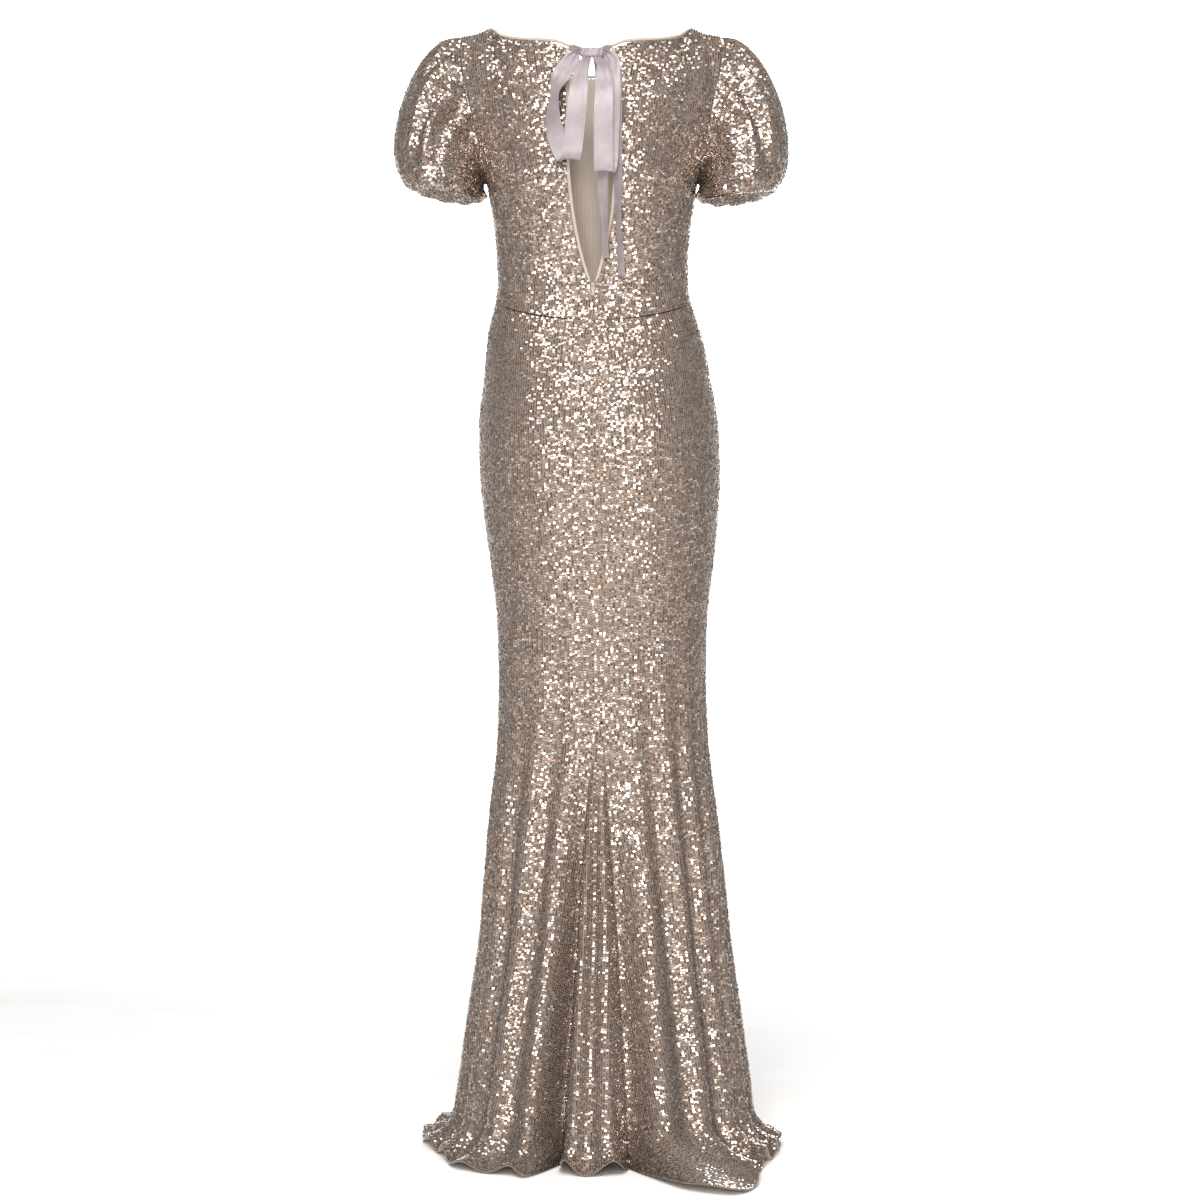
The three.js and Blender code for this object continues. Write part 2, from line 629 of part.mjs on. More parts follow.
function zipTape() {
  const skirt = SKIRT_LEVELS.filter((level) => level >= ZIP_END).map((level) => skirtLevel(level, 0));
  const bodice = BODICE_LEVELS.slice(1, 4).map((level) => level - 2);
  const heights = [...bodice.reverse(), ...skirt];
  const across = [-1, -0.4, 0, 0.4, 1].map((part) => part * TAPE_HALF_WIDTH);
  const surface = (u, v) => {
    const height = between(heights, v * (heights.length - 1));
    const x = between(across, u * (across.length - 1));
    return bodicePoint(1, Math.sign(x), Math.abs(x) / body('halfWidth', height), height);
  };
  const [us, vs] = [steps(across.length - 1), steps(heights.length - 1)];
  return panel(surface, us, vs, { wall: 0.8, lift: -CLOTH - 2 * GAP });
}

// An outline in a plane, from pairs of distances.
const outline = (pairs) => new THREE.Shape(pairs.map(([a, b]) => new THREE.Vector2(a, b)));

// A block whose outline is given as distances out and up, centred across.
function sideways(shape, width) {
  const geometry = new THREE.ExtrudeGeometry(shape, { depth: width, bevelEnabled: false });
  geometry.translate(0, 0, -width / 2);
  geometry.rotateX(Math.PI / 2);
  geometry.rotateZ(Math.PI / 2);
  return geometry;
}

const zipMiddle = () => {
  const face = bodicePoint(1, 1, 0, SLIDER.top).y;
  return { x: body('sway', SLIDER.top), face };
};

function zipSlider() {
  const { x, face } = zipMiddle();
  const { base, top, halfWidth, archHalfWidth } = SLIDER;
  const block = sideways(outline([[-1.8, base], [0.8, base], [0.8, top], [-1.8, top]]), 2 * halfWidth);
  const arch = outline([[0.7, 1150.4], [3.9, 1150.4], [3.9, 1155.8], [0.7, 1155.8]]);
  arch.holes.push(outline([[0.8, 1151.2], [0.8, 1155], [3.1, 1155], [3.1, 1151.2]]));
  return joined([block, sideways(arch, 2 * archHalfWidth)]).translate(x, face, 0);
}

function zipPull() {
  const { x, face } = zipMiddle();
  const { pivot, below, halfWidth, thickness, out, windowBelow } = PULL;
  const tab = new THREE.Shape();
  tab.moveTo(-halfWidth, 0.45);
  tab.lineTo(-halfWidth, 3 - below);
  tab.absarc(0, 2 - below, halfWidth, Math.PI, 2 * Math.PI, false);
  tab.lineTo(halfWidth, 0.45);
  const inside = SLIDER.archHalfWidth + 0.35;
  tab.holes.push(outline([[-inside, -0.45], [inside, -0.45], [inside, -windowBelow], [-inside, -windowBelow]]));
  const geometry = new THREE.ExtrudeGeometry(tab, { depth: thickness, bevelEnabled: false, curveSegments: 5 });
  geometry.translate(0, 0, -thickness / 2);
  geometry.rotateX(Math.PI / 2);
  return geometry.translate(x, face + out, pivot);
}

// The union of closed geometries.
function joined(geometries) {
  const solids = geometries.map((geometry) => {
    const corners = new THREE.BufferGeometry();
    corners.setAttribute('position', geometry.getAttribute('position'));
    const merged = mergeVertices(corners);
    return new kernel.Manifold(new kernel.Mesh({
      numProp: 3,
      vertProperties: merged.getAttribute('position').array,
      triVerts: new Uint32Array(merged.index.array),
    }));
  });
  const mesh = kernel.Manifold.union(solids).getMesh();
  const geometry = new THREE.BufferGeometry();
  geometry.setAttribute('position', new THREE.BufferAttribute(new Float32Array(mesh.vertProperties), 3));
  geometry.setIndex([...mesh.triVerts]);
  geometry.computeVertexNormals();
  return geometry;
}

// The bow at the nape. Each ribbon is a strip along a smooth line of stations: across is to the
// wearer's right of the knot, down is below it and out is clear of the cloth. lean tips the
// ribbon's width in the picture of the back, and turn swings it edge on, both in degrees.
const KNOT = { height: 1463, across: 1.5, halfWide: 15.6, halfTall: 7.6, halfDeep: 7, out: 11 };
const RIBBONS = {
  bow_loop_left: [
    { across: -17, down: 3, out: 14, lean: 76, turn: 0, width: 9 },
    { across: -21, down: 8, out: 16, lean: 52, turn: 0, width: 16 },
    { across: -26, down: 17, out: 16, lean: 40, turn: 8, width: 24 },
    { across: -39, down: 36, out: 16, lean: 34, turn: 20, width: 25 },
    { across: -48, down: 62, out: 14, lean: 16, turn: 60, width: 22 },
    { across: -50, down: 92, out: 11, lean: 4, turn: 40, width: 25 },
    { across: -43, down: 122, out: 9, lean: -12, turn: 8, width: 26 },
    { across: -33, down: 143, out: 11, lean: -4, turn: 0, width: 26 },
    { across: -27, down: 148, out: 18, lean: 0, turn: 0, width: 26 },
    { across: -24, down: 136, out: 23, lean: 4, turn: 0, width: 26 },
    { across: -20, down: 100, out: 24, lean: 4, turn: 0, width: 26 },
    { across: -16, down: 60, out: 24, lean: 6, turn: 0, width: 24 },
    { across: -11, down: 28, out: 22, lean: 8, turn: 0, width: 18 },
    { across: -5, down: 11.4, out: 14, lean: 4, turn: 0, width: 12 },
  ],
  bow_loop_right: [
    { across: 19.6, down: 3, out: 14, lean: -76, turn: 0, width: 9 },
    { across: 24, down: 8, out: 17, lean: -46, turn: 0, width: 16 },
    { across: 28, down: 17, out: 17, lean: -25, turn: 0, width: 22 },
    { across: 28, down: 50, out: 15, lean: 0, turn: 0, width: 24 },
    { across: 26, down: 100, out: 13, lean: 0, turn: 0, width: 25 },
    { across: 24, down: 146, out: 13, lean: 0, turn: 0, width: 25 },
    { across: 21, down: 162, out: 17, lean: 0, turn: 0, width: 25 },
    { across: 18, down: 164, out: 22, lean: 0, turn: 0, width: 25 },
    { across: 17, down: 148, out: 26, lean: 0, turn: 0, width: 25 },
    { across: 17, down: 100, out: 27, lean: 0, turn: 0, width: 25 },
    { across: 18, down: 54, out: 26, lean: -4, turn: 0, width: 24 },
    { across: 17, down: 26, out: 22, lean: -14, turn: 0, width: 18 },
    { across: 9, down: 11.4, out: 14, lean: 0, turn: 0, width: 11 },
  ],
  bow_tail_long: [
    { across: 17.4, down: 7, out: 7.6, lean: -80, turn: 0, width: 6 },
    { across: 26, down: 14, out: 7.5, lean: -48, turn: 0, width: 9 },
    { across: 33, down: 25, out: 7.5, lean: -30, turn: 10, width: 12 },
    { across: 36, down: 38, out: 7.5, lean: -10, turn: 30, width: 15 },
    { across: 36, down: 70, out: 7, lean: 0, turn: 46, width: 15 },
    { across: 36, down: 120, out: 6.5, lean: 0, turn: 40, width: 15 },
    { across: 37, down: 180, out: 6.5, lean: 0, turn: 46, width: 15 },
    { across: 37, down: 226, out: 7, lean: 0, turn: 60, width: 14 },
    { across: 39, down: 258, out: 6.5, lean: 0, turn: 55, width: 13 },
    { across: 41, down: 298, out: 6, lean: -8, turn: 50, width: 13 },
  ],
  bow_tail_short: [
    { across: 8, down: 11.4, out: 7, lean: 0, turn: 0, width: 9 },
    { across: 14, down: 40, out: 4, lean: 0, turn: 0, width: 16 },
    { across: 15, down: 110, out: 4, lean: 0, turn: 0, width: 17 },
    { across: 15, down: 155, out: 6, lean: 0, turn: 16, width: 17 },
    { across: 17, down: 195, out: 8, lean: 0, turn: 38, width: 15 },
    { across: 19, down: 238, out: 8, lean: 0, turn: 44, width: 13 },
    { across: 20, down: 276, out: 9, lean: 6, turn: 44, width: 11 },
  ],
};
const DEGREES = Math.PI / 180;

function stationAt(rows, place) {
  const places = rows.map((row, i) => ({ ...row, place: i }));
  const get = (column) => lookup(places, 'place', column, place);
  const height = KNOT.height - get('down');
  const x = body('sway', 1450) - get('across');
  const face = Math.max(bodiceDepth(1, 0.17, Math.min(height, 1470)), 68);
  const [lean, turn] = [get('lean') * DEGREES, get('turn') * DEGREES];
  const wide = point(-Math.cos(lean) * Math.cos(turn), Math.sin(turn), -Math.sin(lean) * Math.cos(turn));
  return { middle: point(x, face + get('out'), height), wide, half: get('width') / 2 };
}

function ribbon(rows, count) {
  const stations = steps(count).map((t) => stationAt(rows, t * (rows.length - 1)));
  const [outer, inner] = [[], []];
  stations.forEach(({ middle, wide, half }, i) => {
    const before = stations[Math.max(0, i - 1)].middle;
    const after = stations[Math.min(count, i + 1)].middle;
    const along = after.clone().sub(before).normalize();
    const flat = wide.clone().addScaledVector(along, -wide.dot(along)).normalize();
    const normal = along.cross(flat).setLength(RIBBON / 2);
    const row = [-1, 0, 1].map((part) => middle.clone().addScaledVector(flat, part * half));
    outer.push(row.map((p) => p.clone().add(normal)));
    inner.push(row.map((p) => p.clone().sub(normal)));
  });
  return wallFromRows(outer, inner);
}

function bowKnot() {
  const geometry = new THREE.SphereGeometry(1, 16, 8);
  const corners = geometry.getAttribute('position');
  const boxy = (value) => Math.sign(value) * Math.abs(value) ** 0.55;
  for (let i = 0; i < corners.count; i += 1) {
    corners.setXYZ(i, boxy(corners.getX(i)), boxy(corners.getZ(i)), boxy(corners.getY(i)));
  }
  geometry.setIndex([...geometry.getIndex().array].reverse());
  geometry.scale(KNOT.halfWide, KNOT.halfDeep, KNOT.halfTall);
  const face = bodiceDepth(1, 0, 1470);
  return geometry.translate(body('sway', 1450) - KNOT.across, face + KNOT.out, KNOT.height - 3);
}

// The ribbon from a neck corner to the knot.
function ribbonTie(side) {
  const corner = KEYHOLE_HALF_WIDTH - GAP;
  const rows = [
    { across: -side * corner, down: -5, out: 1.6, lean: 90, turn: 0, width: 9 },
    { across: -side * (corner - 5), down: -5, out: 3.4, lean: 82 * side, turn: 0, width: 9 },
    { across: KNOT.across - side * (KNOT.halfWide + 0.2), down: -1, out: 8, lean: 74 * side, turn: 0, width: 8 },
  ];
  return ribbon(rows, 4);
}

const dress = new THREE.Group();
dress.position.set(-SHOULDER_MIDDLE, 0, -SHOULDER_HEIGHT);

function add(name, geometry, material) {
  const mesh = new THREE.Mesh(geometry, material);
  mesh.name = name;
  dress.add(mesh);
  return mesh;
}

add('bodice_front', bodicePanel(-1, frontPoint, FRONT_COLUMNS, BODICE_ROWS, 1), sequinCloth);
add('neck_binding_front', frontNeckBinding(), bindingCloth);
for (const [name, side] of [['left', 1], ['right', -1]]) {
  const surface = (u, v) => backPoint(side, u, v);
  add(`bodice_back_${name}`, bodicePanel(1, surface, BACK_COLUMNS, BODICE_ROWS, -side), sequinCloth);
  add(`neck_binding_${name}`, backNeckBinding(side), bindingCloth);
  add(`keyhole_binding_${name}`, keyholeBinding(side), bindingCloth);
  add(`sleeve_${name}`, sleeve(side), sequinCloth);
}
for (const name of Object.keys(SKIRT_PIECES)) {
  add(name, skirtPanel(name), sequinCloth);
}
add('zip_tape', zipTape(), zipTapeCloth);
add('zip_slider', zipSlider(), zipMetal);
add('zip_pull', zipPull(), zipMetal);
add('bow_knot', bowKnot(), satin);
for (const [name, rows] of Object.entries(RIBBONS)) {
  add(name, ribbon(rows, name.includes('loop') ? 28 : 18), satin);
}
add('ribbon_tie_left', ribbonTie(1), satin);
add('ribbon_tie_right', ribbonTie(-1), satin);

export default dress;
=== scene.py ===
# %% [markdown]
# # A sequinned evening dress
# The dress is seen worn and hollow, from behind. Its cloth is a nude knit sewn all over with small
# champagne sequins. This lesson makes the knit as thin shells, sews the sequins on as real discs,
# and then adds the bound edges, the zip, the ribbon bow, the light and the camera.

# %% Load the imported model
import math
import bmesh
import bpy
import numpy as np
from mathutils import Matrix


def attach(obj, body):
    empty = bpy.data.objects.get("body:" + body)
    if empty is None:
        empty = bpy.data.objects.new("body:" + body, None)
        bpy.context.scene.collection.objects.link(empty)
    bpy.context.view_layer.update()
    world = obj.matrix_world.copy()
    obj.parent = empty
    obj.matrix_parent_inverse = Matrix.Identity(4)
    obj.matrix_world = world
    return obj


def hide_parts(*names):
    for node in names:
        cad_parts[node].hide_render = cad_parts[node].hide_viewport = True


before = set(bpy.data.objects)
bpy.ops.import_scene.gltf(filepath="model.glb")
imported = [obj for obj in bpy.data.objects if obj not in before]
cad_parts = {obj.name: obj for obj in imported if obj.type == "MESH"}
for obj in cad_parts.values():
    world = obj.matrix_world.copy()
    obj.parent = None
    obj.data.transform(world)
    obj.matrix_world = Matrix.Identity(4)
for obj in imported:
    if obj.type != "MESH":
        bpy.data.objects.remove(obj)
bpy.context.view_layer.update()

# %% [markdown]
# ## Sizes
# A dressmaker works from a few measures and a table of the body's girth. The same holds here: the
# shapes come from named sizes in millimetres and short tables, as heights above the floor. The
# finished points are moved so that the origin is midway between the shoulder points.

# %% Sizes in millimetres
SHOULDER_HEIGHT = 1500
SHOULDER_MIDDLE = 8.5
GAP = 0.3
ROUNDNESS = 2.2
ARMHOLE_BASE = 1296
SHOULDER_TIP = 1495
ARMHOLE_HALF_DEPTH = 40
SHOULDER_ROLL = 92
KEYHOLE_BASE = 1157
KEYHOLE_TALL = 160
KEYHOLE_HALF_WIDTH = 29
ZIP_GAP = 2.5
ZIP_CLOSED = 1100
ZIP_END = 905
BINDING = 4
SIDE_WAIST = 1135
BACK_WAIST_DROP = 30
BACK_BASE = SIDE_WAIST - BACK_WAIST_DROP
BACK_TOP = 1468
DROP_END = 930
GODET_TOP = 572
GODET_LEFT = 76
GODET_RIGHT = 41
FOOT_TOP = 62


def table(columns, *rows):
    """Rows of numbers as named columns, in rising order of the first."""
    grid = np.array(sorted(rows), float)
    return dict(zip(columns.split(), grid.T))


BODY = table(
    "height half_width back front sway",
    (1510, 175, 58, 60, 8.5),
    (1472, 177, 72, 76, 8.5),
    (1440, 173, 84, 86, 8.5),
    (1400, 165, 92, 96, 8),
    (1350, 154, 95, 106, 7.5),
    (1300, 143, 93, 112, 7),
    (1250, 134.5, 85, 113, 6),
    (1200, 129.5, 75.5, 107, 6),
    (1160, 128.5, 70.5, 96, 5.5),
    (1138, 131.5, 70.5, 92.5, 5),
    (1104, 141, 77, 95, 4),
    (1070, 148, 91, 99, 1.5),
    (1028, 153.5, 107, 102, -0.5),
    (965, 162, 122, 101, -2.5),
    (908, 162.5, 121, 99, -4),
    (850, 158.5, 113, 97, -5.5),
    (776, 150, 100, 95, -7),
    (700, 142, 90, 92.5, -7),
    (620, 141, 84, 92, -7),
    (540, 144, 86, 94, -7.5),
    (450, 155, 97, 102, -8),
    (352, 164.5, 120, 114, -9.5),
    (270, 172, 149, 126, -10.5),
    (190, 183.5, 187, 139, -10),
    (110, 194.5, 234, 152, -10),
    (54, 202, 270, 160, -9),
)
BACK_NECK = table(
    "share level out",
    (0, 1472, 71), (0.16, 1473, 69), (0.29, 1482, 59), (0.55, 1489, 32),
    (0.7, 1497, 12), (0.78, 1507, 0), (0.86, 1500, 0), (1, 1495, 0),
)
FRONT_NECK = table(
    "share level out",
    (0, 1455, 81), (0.25, 1459, 74), (0.5, 1472, 48), (0.68, 1492, 16),
    (0.78, 1507, 0), (0.86, 1500, 0), (1, 1495, 0),
)
print("tables of", len(BODY["height"]), "levels and", len(BACK_NECK["share"]), "neck points")

# %% [markdown]
# The tables are sparse, as a tape measure's readings are. Straight lines between them would leave a
# kink at each level, and a loose spline would bulge past them. A curve whose slopes never overshoot
# gives the smooth side that worn cloth has.

# %% Curves through the tables


def mix(a, b, t):
    return a + (b - a) * t


def clamp(value, low=0.0, high=1.0):
    return np.clip(value, low, high)


def smooth(t):
    t = clamp(t)
    return t * t * (3 - 2 * t)


def lookup(rows, column, at):
    """A smooth curve through one column, with no overshoot between its rows."""
    keys, values = next(iter(rows.values())), rows[column]
    slopes = np.diff(values) / np.diff(keys)
    before, after = slopes[:-1], slopes[1:]
    same = before * after > 0
    middle = np.where(same, 2 * before * after / np.where(same, before + after, 1), 0)
    tangents = np.concatenate([slopes[:1], middle, slopes[-1:]])
    at = clamp(np.asarray(at, float), keys[0], keys[-1])
    i = clamp(np.searchsorted(keys, at, side="right") - 1, 0, len(keys) - 2).astype(int)
    span = keys[i + 1] - keys[i]
    t = (at - keys[i]) / span
    bend = span * t * (1 - t) * ((1 - t) * tangents[i] - t * tangents[i + 1])
    return mix(values[i], values[i + 1], smooth(t)) + bend


def body(column, height):
    return lookup(BODY, column, height)


def between(values, place):
    """A value part of the way along a list."""
    return np.interp(place, np.arange(len(values)), values)


def points(x, y, z):
    return np.stack(np.broadcast_arrays(x, y, z), -1).astype(float)


def unit(vectors):
    length = np.linalg.norm(vectors, axis=-1, keepdims=True)
    return vectors / np.where(length > 1e-9, length, 1)


print("back of the waist", round(float(body("back", 1160)), 1), "mm")

# %% [markdown]
# ## The bodice
# Each level of the bodice is an oval. Toward the neck the cloth rolls over the shoulder, and at the
# armhole it follows an upright oval. It could be sculpted, but then neighbouring panels would part.
# Functions of u across a panel and v up it keep every seam shared, however fine the grid is.

# %% Surfaces of the bodice


def bust(share, height):
    """One soft swell on each side of the front."""
    across = share * body("half_width", height)
    return 13 * np.exp(-(((across - 74) / 40) ** 2) - ((height - 1242) / 52) ** 2)


def bodice_depth(face, share, height):
    """How far the cloth lies from the dress's middle plane. face is 1 behind and -1 in front."""
    share, height = np.broadcast_arrays(np.asarray(share, float), np.asarray(height, float))
    neck = BACK_NECK if face > 0 else FRONT_NECK
    edge = clamp((height - ARMHOLE_BASE) / (SHOULDER_TIP - ARMHOLE_BASE))
    armhole = ARMHOLE_HALF_DEPTH * 2 * np.sqrt(edge * (1 - edge))
    power = mix(1 / ROUNDNESS, 1.05, smooth(edge / 0.28))
    full = body("back" if face > 0 else "front", height)
    oval = (1 - np.minimum(1, share) ** ROUNDNESS) ** power
    chest = 0 if face > 0 else bust(share, height)
    below = armhole + (full - armhole) * oval + chest
    drop = clamp((lookup(neck, "level", share) - height) / SHOULDER_ROLL)
    return mix(lookup(neck, "out", share), below, np.sqrt(1 - (1 - drop) ** 2))


def bodice_point(face, side, share, height):
    x = body("sway", height) + side * share * body("half_width", height)
    return points(x, face * bodice_depth(face, share, height), height)


def waist_level(turn):
    return SIDE_WAIST - BACK_WAIST_DROP * np.maximum(0, np.cos(turn)) ** 1.5


def dropped(level, turn):
    """A level's height, which follows the waist seam down toward the centre back."""
    return level + (waist_level(turn) - SIDE_WAIST) * smooth((level - DROP_END) / (SIDE_WAIST - DROP_END))


def up_the_back(height):
    return (height - BACK_BASE) / (BACK_TOP - BACK_BASE)


def keyhole_half_width(height):
    up = clamp((height - KEYHOLE_BASE) / KEYHOLE_TALL)
    zip_edge = mix(GAP / 2, ZIP_GAP, smooth((height - ZIP_CLOSED) / (KEYHOLE_BASE - ZIP_CLOSED)))
    return zip_edge + (KEYHOLE_HALF_WIDTH - ZIP_GAP) * (1 - (1 - up) ** 2)


def binding_share(height):
    return clamp((height - KEYHOLE_BASE + 10) / 16)


def bound_share(u):
    """How much of the neck binding's width there is, from the centre to the side."""
    return np.interp(u, [0, 4 / 9, 5 / 9, 6 / 9], [1, 1, 0.35, 0])


def share_of(u):
    return np.sin(np.asarray(u, float) * math.pi / 2) ** (2 / ROUNDNESS)


NECK_CORNER = (KEYHOLE_HALF_WIDTH + BINDING) / float(body("half_width", BACK_TOP))


def back_sweep(u):
    second = 2 / 9
    near = mix(NECK_CORNER, share_of(second), u / second)
    share = np.where(u < second, near, share_of(u))
    return (share - NECK_CORNER) / (1 - NECK_CORNER)


def back_point(side, u, v, neck_inset=BINDING + 2 * GAP, keyhole_inset=BINDING + GAP):
    """One side of the back, cut away for the keyhole and for the bindings on its edges."""
    sweep = back_sweep(u)
    top = lookup(BACK_NECK, "level", mix(NECK_CORNER, 1, sweep)) - neck_inset * bound_share(u)
    height = mix(waist_level(u * math.pi / 2) + GAP / 2, top, v)
    edge = keyhole_half_width(height) + keyhole_inset * binding_share(height)
    share = mix(edge / body("half_width", height), 1, sweep)
    p = bodice_point(1, side, share, height)
    p[..., 1] = np.maximum(p[..., 1], 0) + GAP / 2
    return p


def front_point(u, v, neck_inset=BINDING + 2 * GAP):
    away = 2 * u - 1
    share = share_of(np.abs(away))
    top = lookup(FRONT_NECK, "level", share) - neck_inset * bound_share(np.abs(away))
    height = mix(SIDE_WAIST + GAP / 2, top, v)
    p = bodice_point(-1, np.sign(away), share, height)
    p[..., 1] = np.minimum(p[..., 1], 0) - GAP / 2
    return p


print("keyhole at its widest", 2 * keyhole_half_width(1330), "mm")

# %% [markdown]
# ## The skirt
# The skirt hangs in ovals that narrow to the knee and flare to the floor. A godet is let into the
# centre back from the knee down, with deep valleys at its two seams. Long soft folds deepen toward
# the hem, and the last part turns outward and lies on the floor in waves.

# %% Surfaces of the skirt
SKIRT_LEVELS = [
    1135, 1088, 1035, 975, 905, 830, 745, 655, 572, 567, 505, 440, 372, 302, 232, 162, 108, 62,
]
FOOT_BENDS = [0, 0.3, 0.62, 1]
HANGING = len(SKIRT_LEVELS) - 1
SKIRT_ROWS = HANGING + 3
FOLDS = table("height depth", (740, 0), (572, 3), (440, 8), (302, 12), (162, 15), (0, 18))
HEM = {
    "skirt_back_left": table(
        "along reach lift",
        (0, 200, 5), (0.055, 318, 5), (0.14, 308, 12), (0.38, 304, 10), (0.55, 272, 16),
        (0.8, 244, 18), (1, 245, 5),
    ),
    "skirt_back_right": table(
        "along reach lift",
        (0, 232, 5), (0.05, 303, 16), (0.11, 408, 12), (0.2, 450, 8), (0.3, 413, 16),
        (0.42, 340, 18), (0.6, 283, 22), (0.9, 243, 18), (1, 238, 5),
    ),
    "back_godet": table(
        "along reach lift",
        (0, 232, 5), (0.2, 284, 18), (0.5, 290, 10), (0.78, 282, 18), (1, 200, 5),
    ),
    "skirt_front": table(
        "along reach lift",
        (0, 238, 5), (0.14, 234, 14), (0.3, 248, 16), (0.5, 236, 12), (0.7, 258, 16),
        (0.86, 254, 14), (1, 245, 5),
    ),
}


def godet_turn(side, height):
    down = clamp(1 - height / GODET_TOP)
    reach = GODET_LEFT * down ** 0.7 if side > 0 else GODET_RIGHT * down
    return side * np.arcsin((reach / body("half_width", height)) ** (ROUNDNESS / 2))


# turn gives the angle from the centre back, and dips the valleys as (where, depth, width).
SKIRT_PIECES = {
    "skirt_back_left": {
        "folds": 4, "warp": 1, "dips": [(0, 58, 0.1)],
        "turn": lambda along, height: mix(godet_turn(1, height), math.pi / 2, along),
    },
    "skirt_back_right": {
        "folds": 5, "warp": 1.25, "dips": [(0, 36, 0.09)],
        "turn": lambda along, height: mix(godet_turn(-1, height), -math.pi / 2, along),
    },
    "back_godet": {
        "folds": 2, "warp": 1, "dips": [(0, 36, 0.2), (1, 58, 0.2)],
        "turn": lambda along, height: mix(godet_turn(-1, height), godet_turn(1, height), along),
    },
    "skirt_front": {
        "folds": 8, "warp": 1, "dips": [],
        "turn": lambda along, height: -math.pi / 2 - math.pi * along,
    },
}


def ridge(piece, along):
    return (1 - np.cos(2 * math.pi * piece["folds"] * along ** piece["warp"])) / 2


def skirt_wall(name, along, level):
    """The hanging part: an oval, pressed in by the folds and by the valleys at the godet's seams."""
    piece = SKIRT_PIECES[name]
    along, level = np.broadcast_arrays(np.asarray(along, float), np.asarray(level, float))
    turn = piece["turn"](along, level)
    height = dropped(level, turn)
    sine, cosine = np.sin(turn), np.cos(turn)
    power = 2 / ROUNDNESS
    x = np.sign(sine) * np.abs(sine) ** power * body("half_width", height)
    depth = np.where(cosine > 0, body("back", height), body("front", height))
    y = np.sign(cosine) * np.abs(cosine) ** power * depth
    deep = np.maximum(0, 1 - height / 540) ** 1.3
    dip = sum(full * np.exp(-(((along - at) / wide) ** 2)) for at, full, wide in piece["dips"])
    fullness = smooth((GODET_TOP - height) / 260) if name == "back_godet" else 1
    fold = lookup(FOLDS, "depth", height) * (1 - ridge(piece, along) * fullness) + deep * dip
    out = unit(points(x, y, 0))
    return points(body("sway", height) + x, y, height) - out * fold[..., None]


def skirt_point(name, along, v):
    """The whole panel, from the waist seam down and then out along the floor."""
    piece = SKIRT_PIECES[name]
    place = np.asarray(v, float) * SKIRT_ROWS
    wall = skirt_wall(name, along, between(SKIRT_LEVELS, np.minimum(place, HANGING)))
    bend = math.pi / 2 * between(FOOT_BENDS, clamp(place - HANGING, 0, 3))
    middle = points(body("sway", FOOT_TOP), 0, 0)
    away = (skirt_wall(name, along, FOOT_TOP) - middle) * np.array([1, 1, 0])
    radius = np.linalg.norm(away, axis=-1, keepdims=True)
    reach = np.maximum(radius + 6, lookup(HEM[name], "reach", along)[..., None])
    lift = 3 + lookup(HEM[name], "lift", along) * ridge(piece, along)
    foot = middle + unit(away) * mix(radius, reach, (1 - np.cos(bend))[..., None])
    foot[..., 2] = mix(FOOT_TOP, lift, np.sin(bend))
    return np.where((place > HANGING)[..., None], foot, wall)


print("skirt rows", SKIRT_ROWS, "folds", sum(p["folds"] for p in SKIRT_PIECES.values()))

# %% [markdown]
# ## The sleeves
# A puff sleeve is cut wider than its armhole, gathered into it at the head, and drawn in again at
# the arm. Each line of the sleeve is a bent cubic from the armhole to the opening, and the gathers
# are waves that are strongest near the head and above the cuff. They are uneven, as pulled threads
# make them.

# %% Surface of a sleeve
ARM = {"across": 179, "half_width": 37, "half_depth": 45, "inner": 1278, "outer": 1291}
LEFT_SLEEVE_RISE = 8
ARMHOLE_START = up_the_back(1267)


def armhole(side, count=56):
    """Points, outward directions and turn angles round an armhole, up the back first."""
    v = np.linspace(ARMHOLE_START, 1, count)
    edge, inside = np.array([1.0, 0.985]), side * np.array([0.5, 0.485]) + 0.5
    back = back_point(side, edge[None, :], v[:, None])
    front = front_point(inside[None, :], v[:, None])
    rings, outs = [], []
    for face, strip in ((1, back), (-1, front)):
        up = unit(np.gradient(strip[:, 0], axis=0))
        out = unit(np.cross(strip[:, 0] - strip[:, 1], up))
        rings.append(strip[:, 0])
        outs.append(out * np.sign(np.sum(out[:, 1] * face)))
    base, top = (rings[0][0] + rings[1][0]) / 2, (rings[0][-1] + rings[1][-1]) / 2
    ring = np.concatenate([[base], rings[0][1:-1], [top], rings[1][-2:0:-1]])
    out = np.concatenate([outs[0][:-1], outs[1][-1:], outs[1][-2:0:-1]])
    rise = (ring[:, 2] - ARMHOLE_BASE) / (SHOULDER_TIP - ARMHOLE_BASE)
    turn = np.arccos(clamp(1 - 2 * rise, -1, 1))
    turn[0], turn[count - 1] = 0, math.pi
    turn[count:] = 2 * math.pi - turn[count:]
    return ring, out, turn


def arm_line(side, v):
    """The middle of a sleeve, from its head to its opening."""
    return points(float(body("sway", 1400)) + side * mix(168, 179, v), 0, mix(1396, 1285, v))


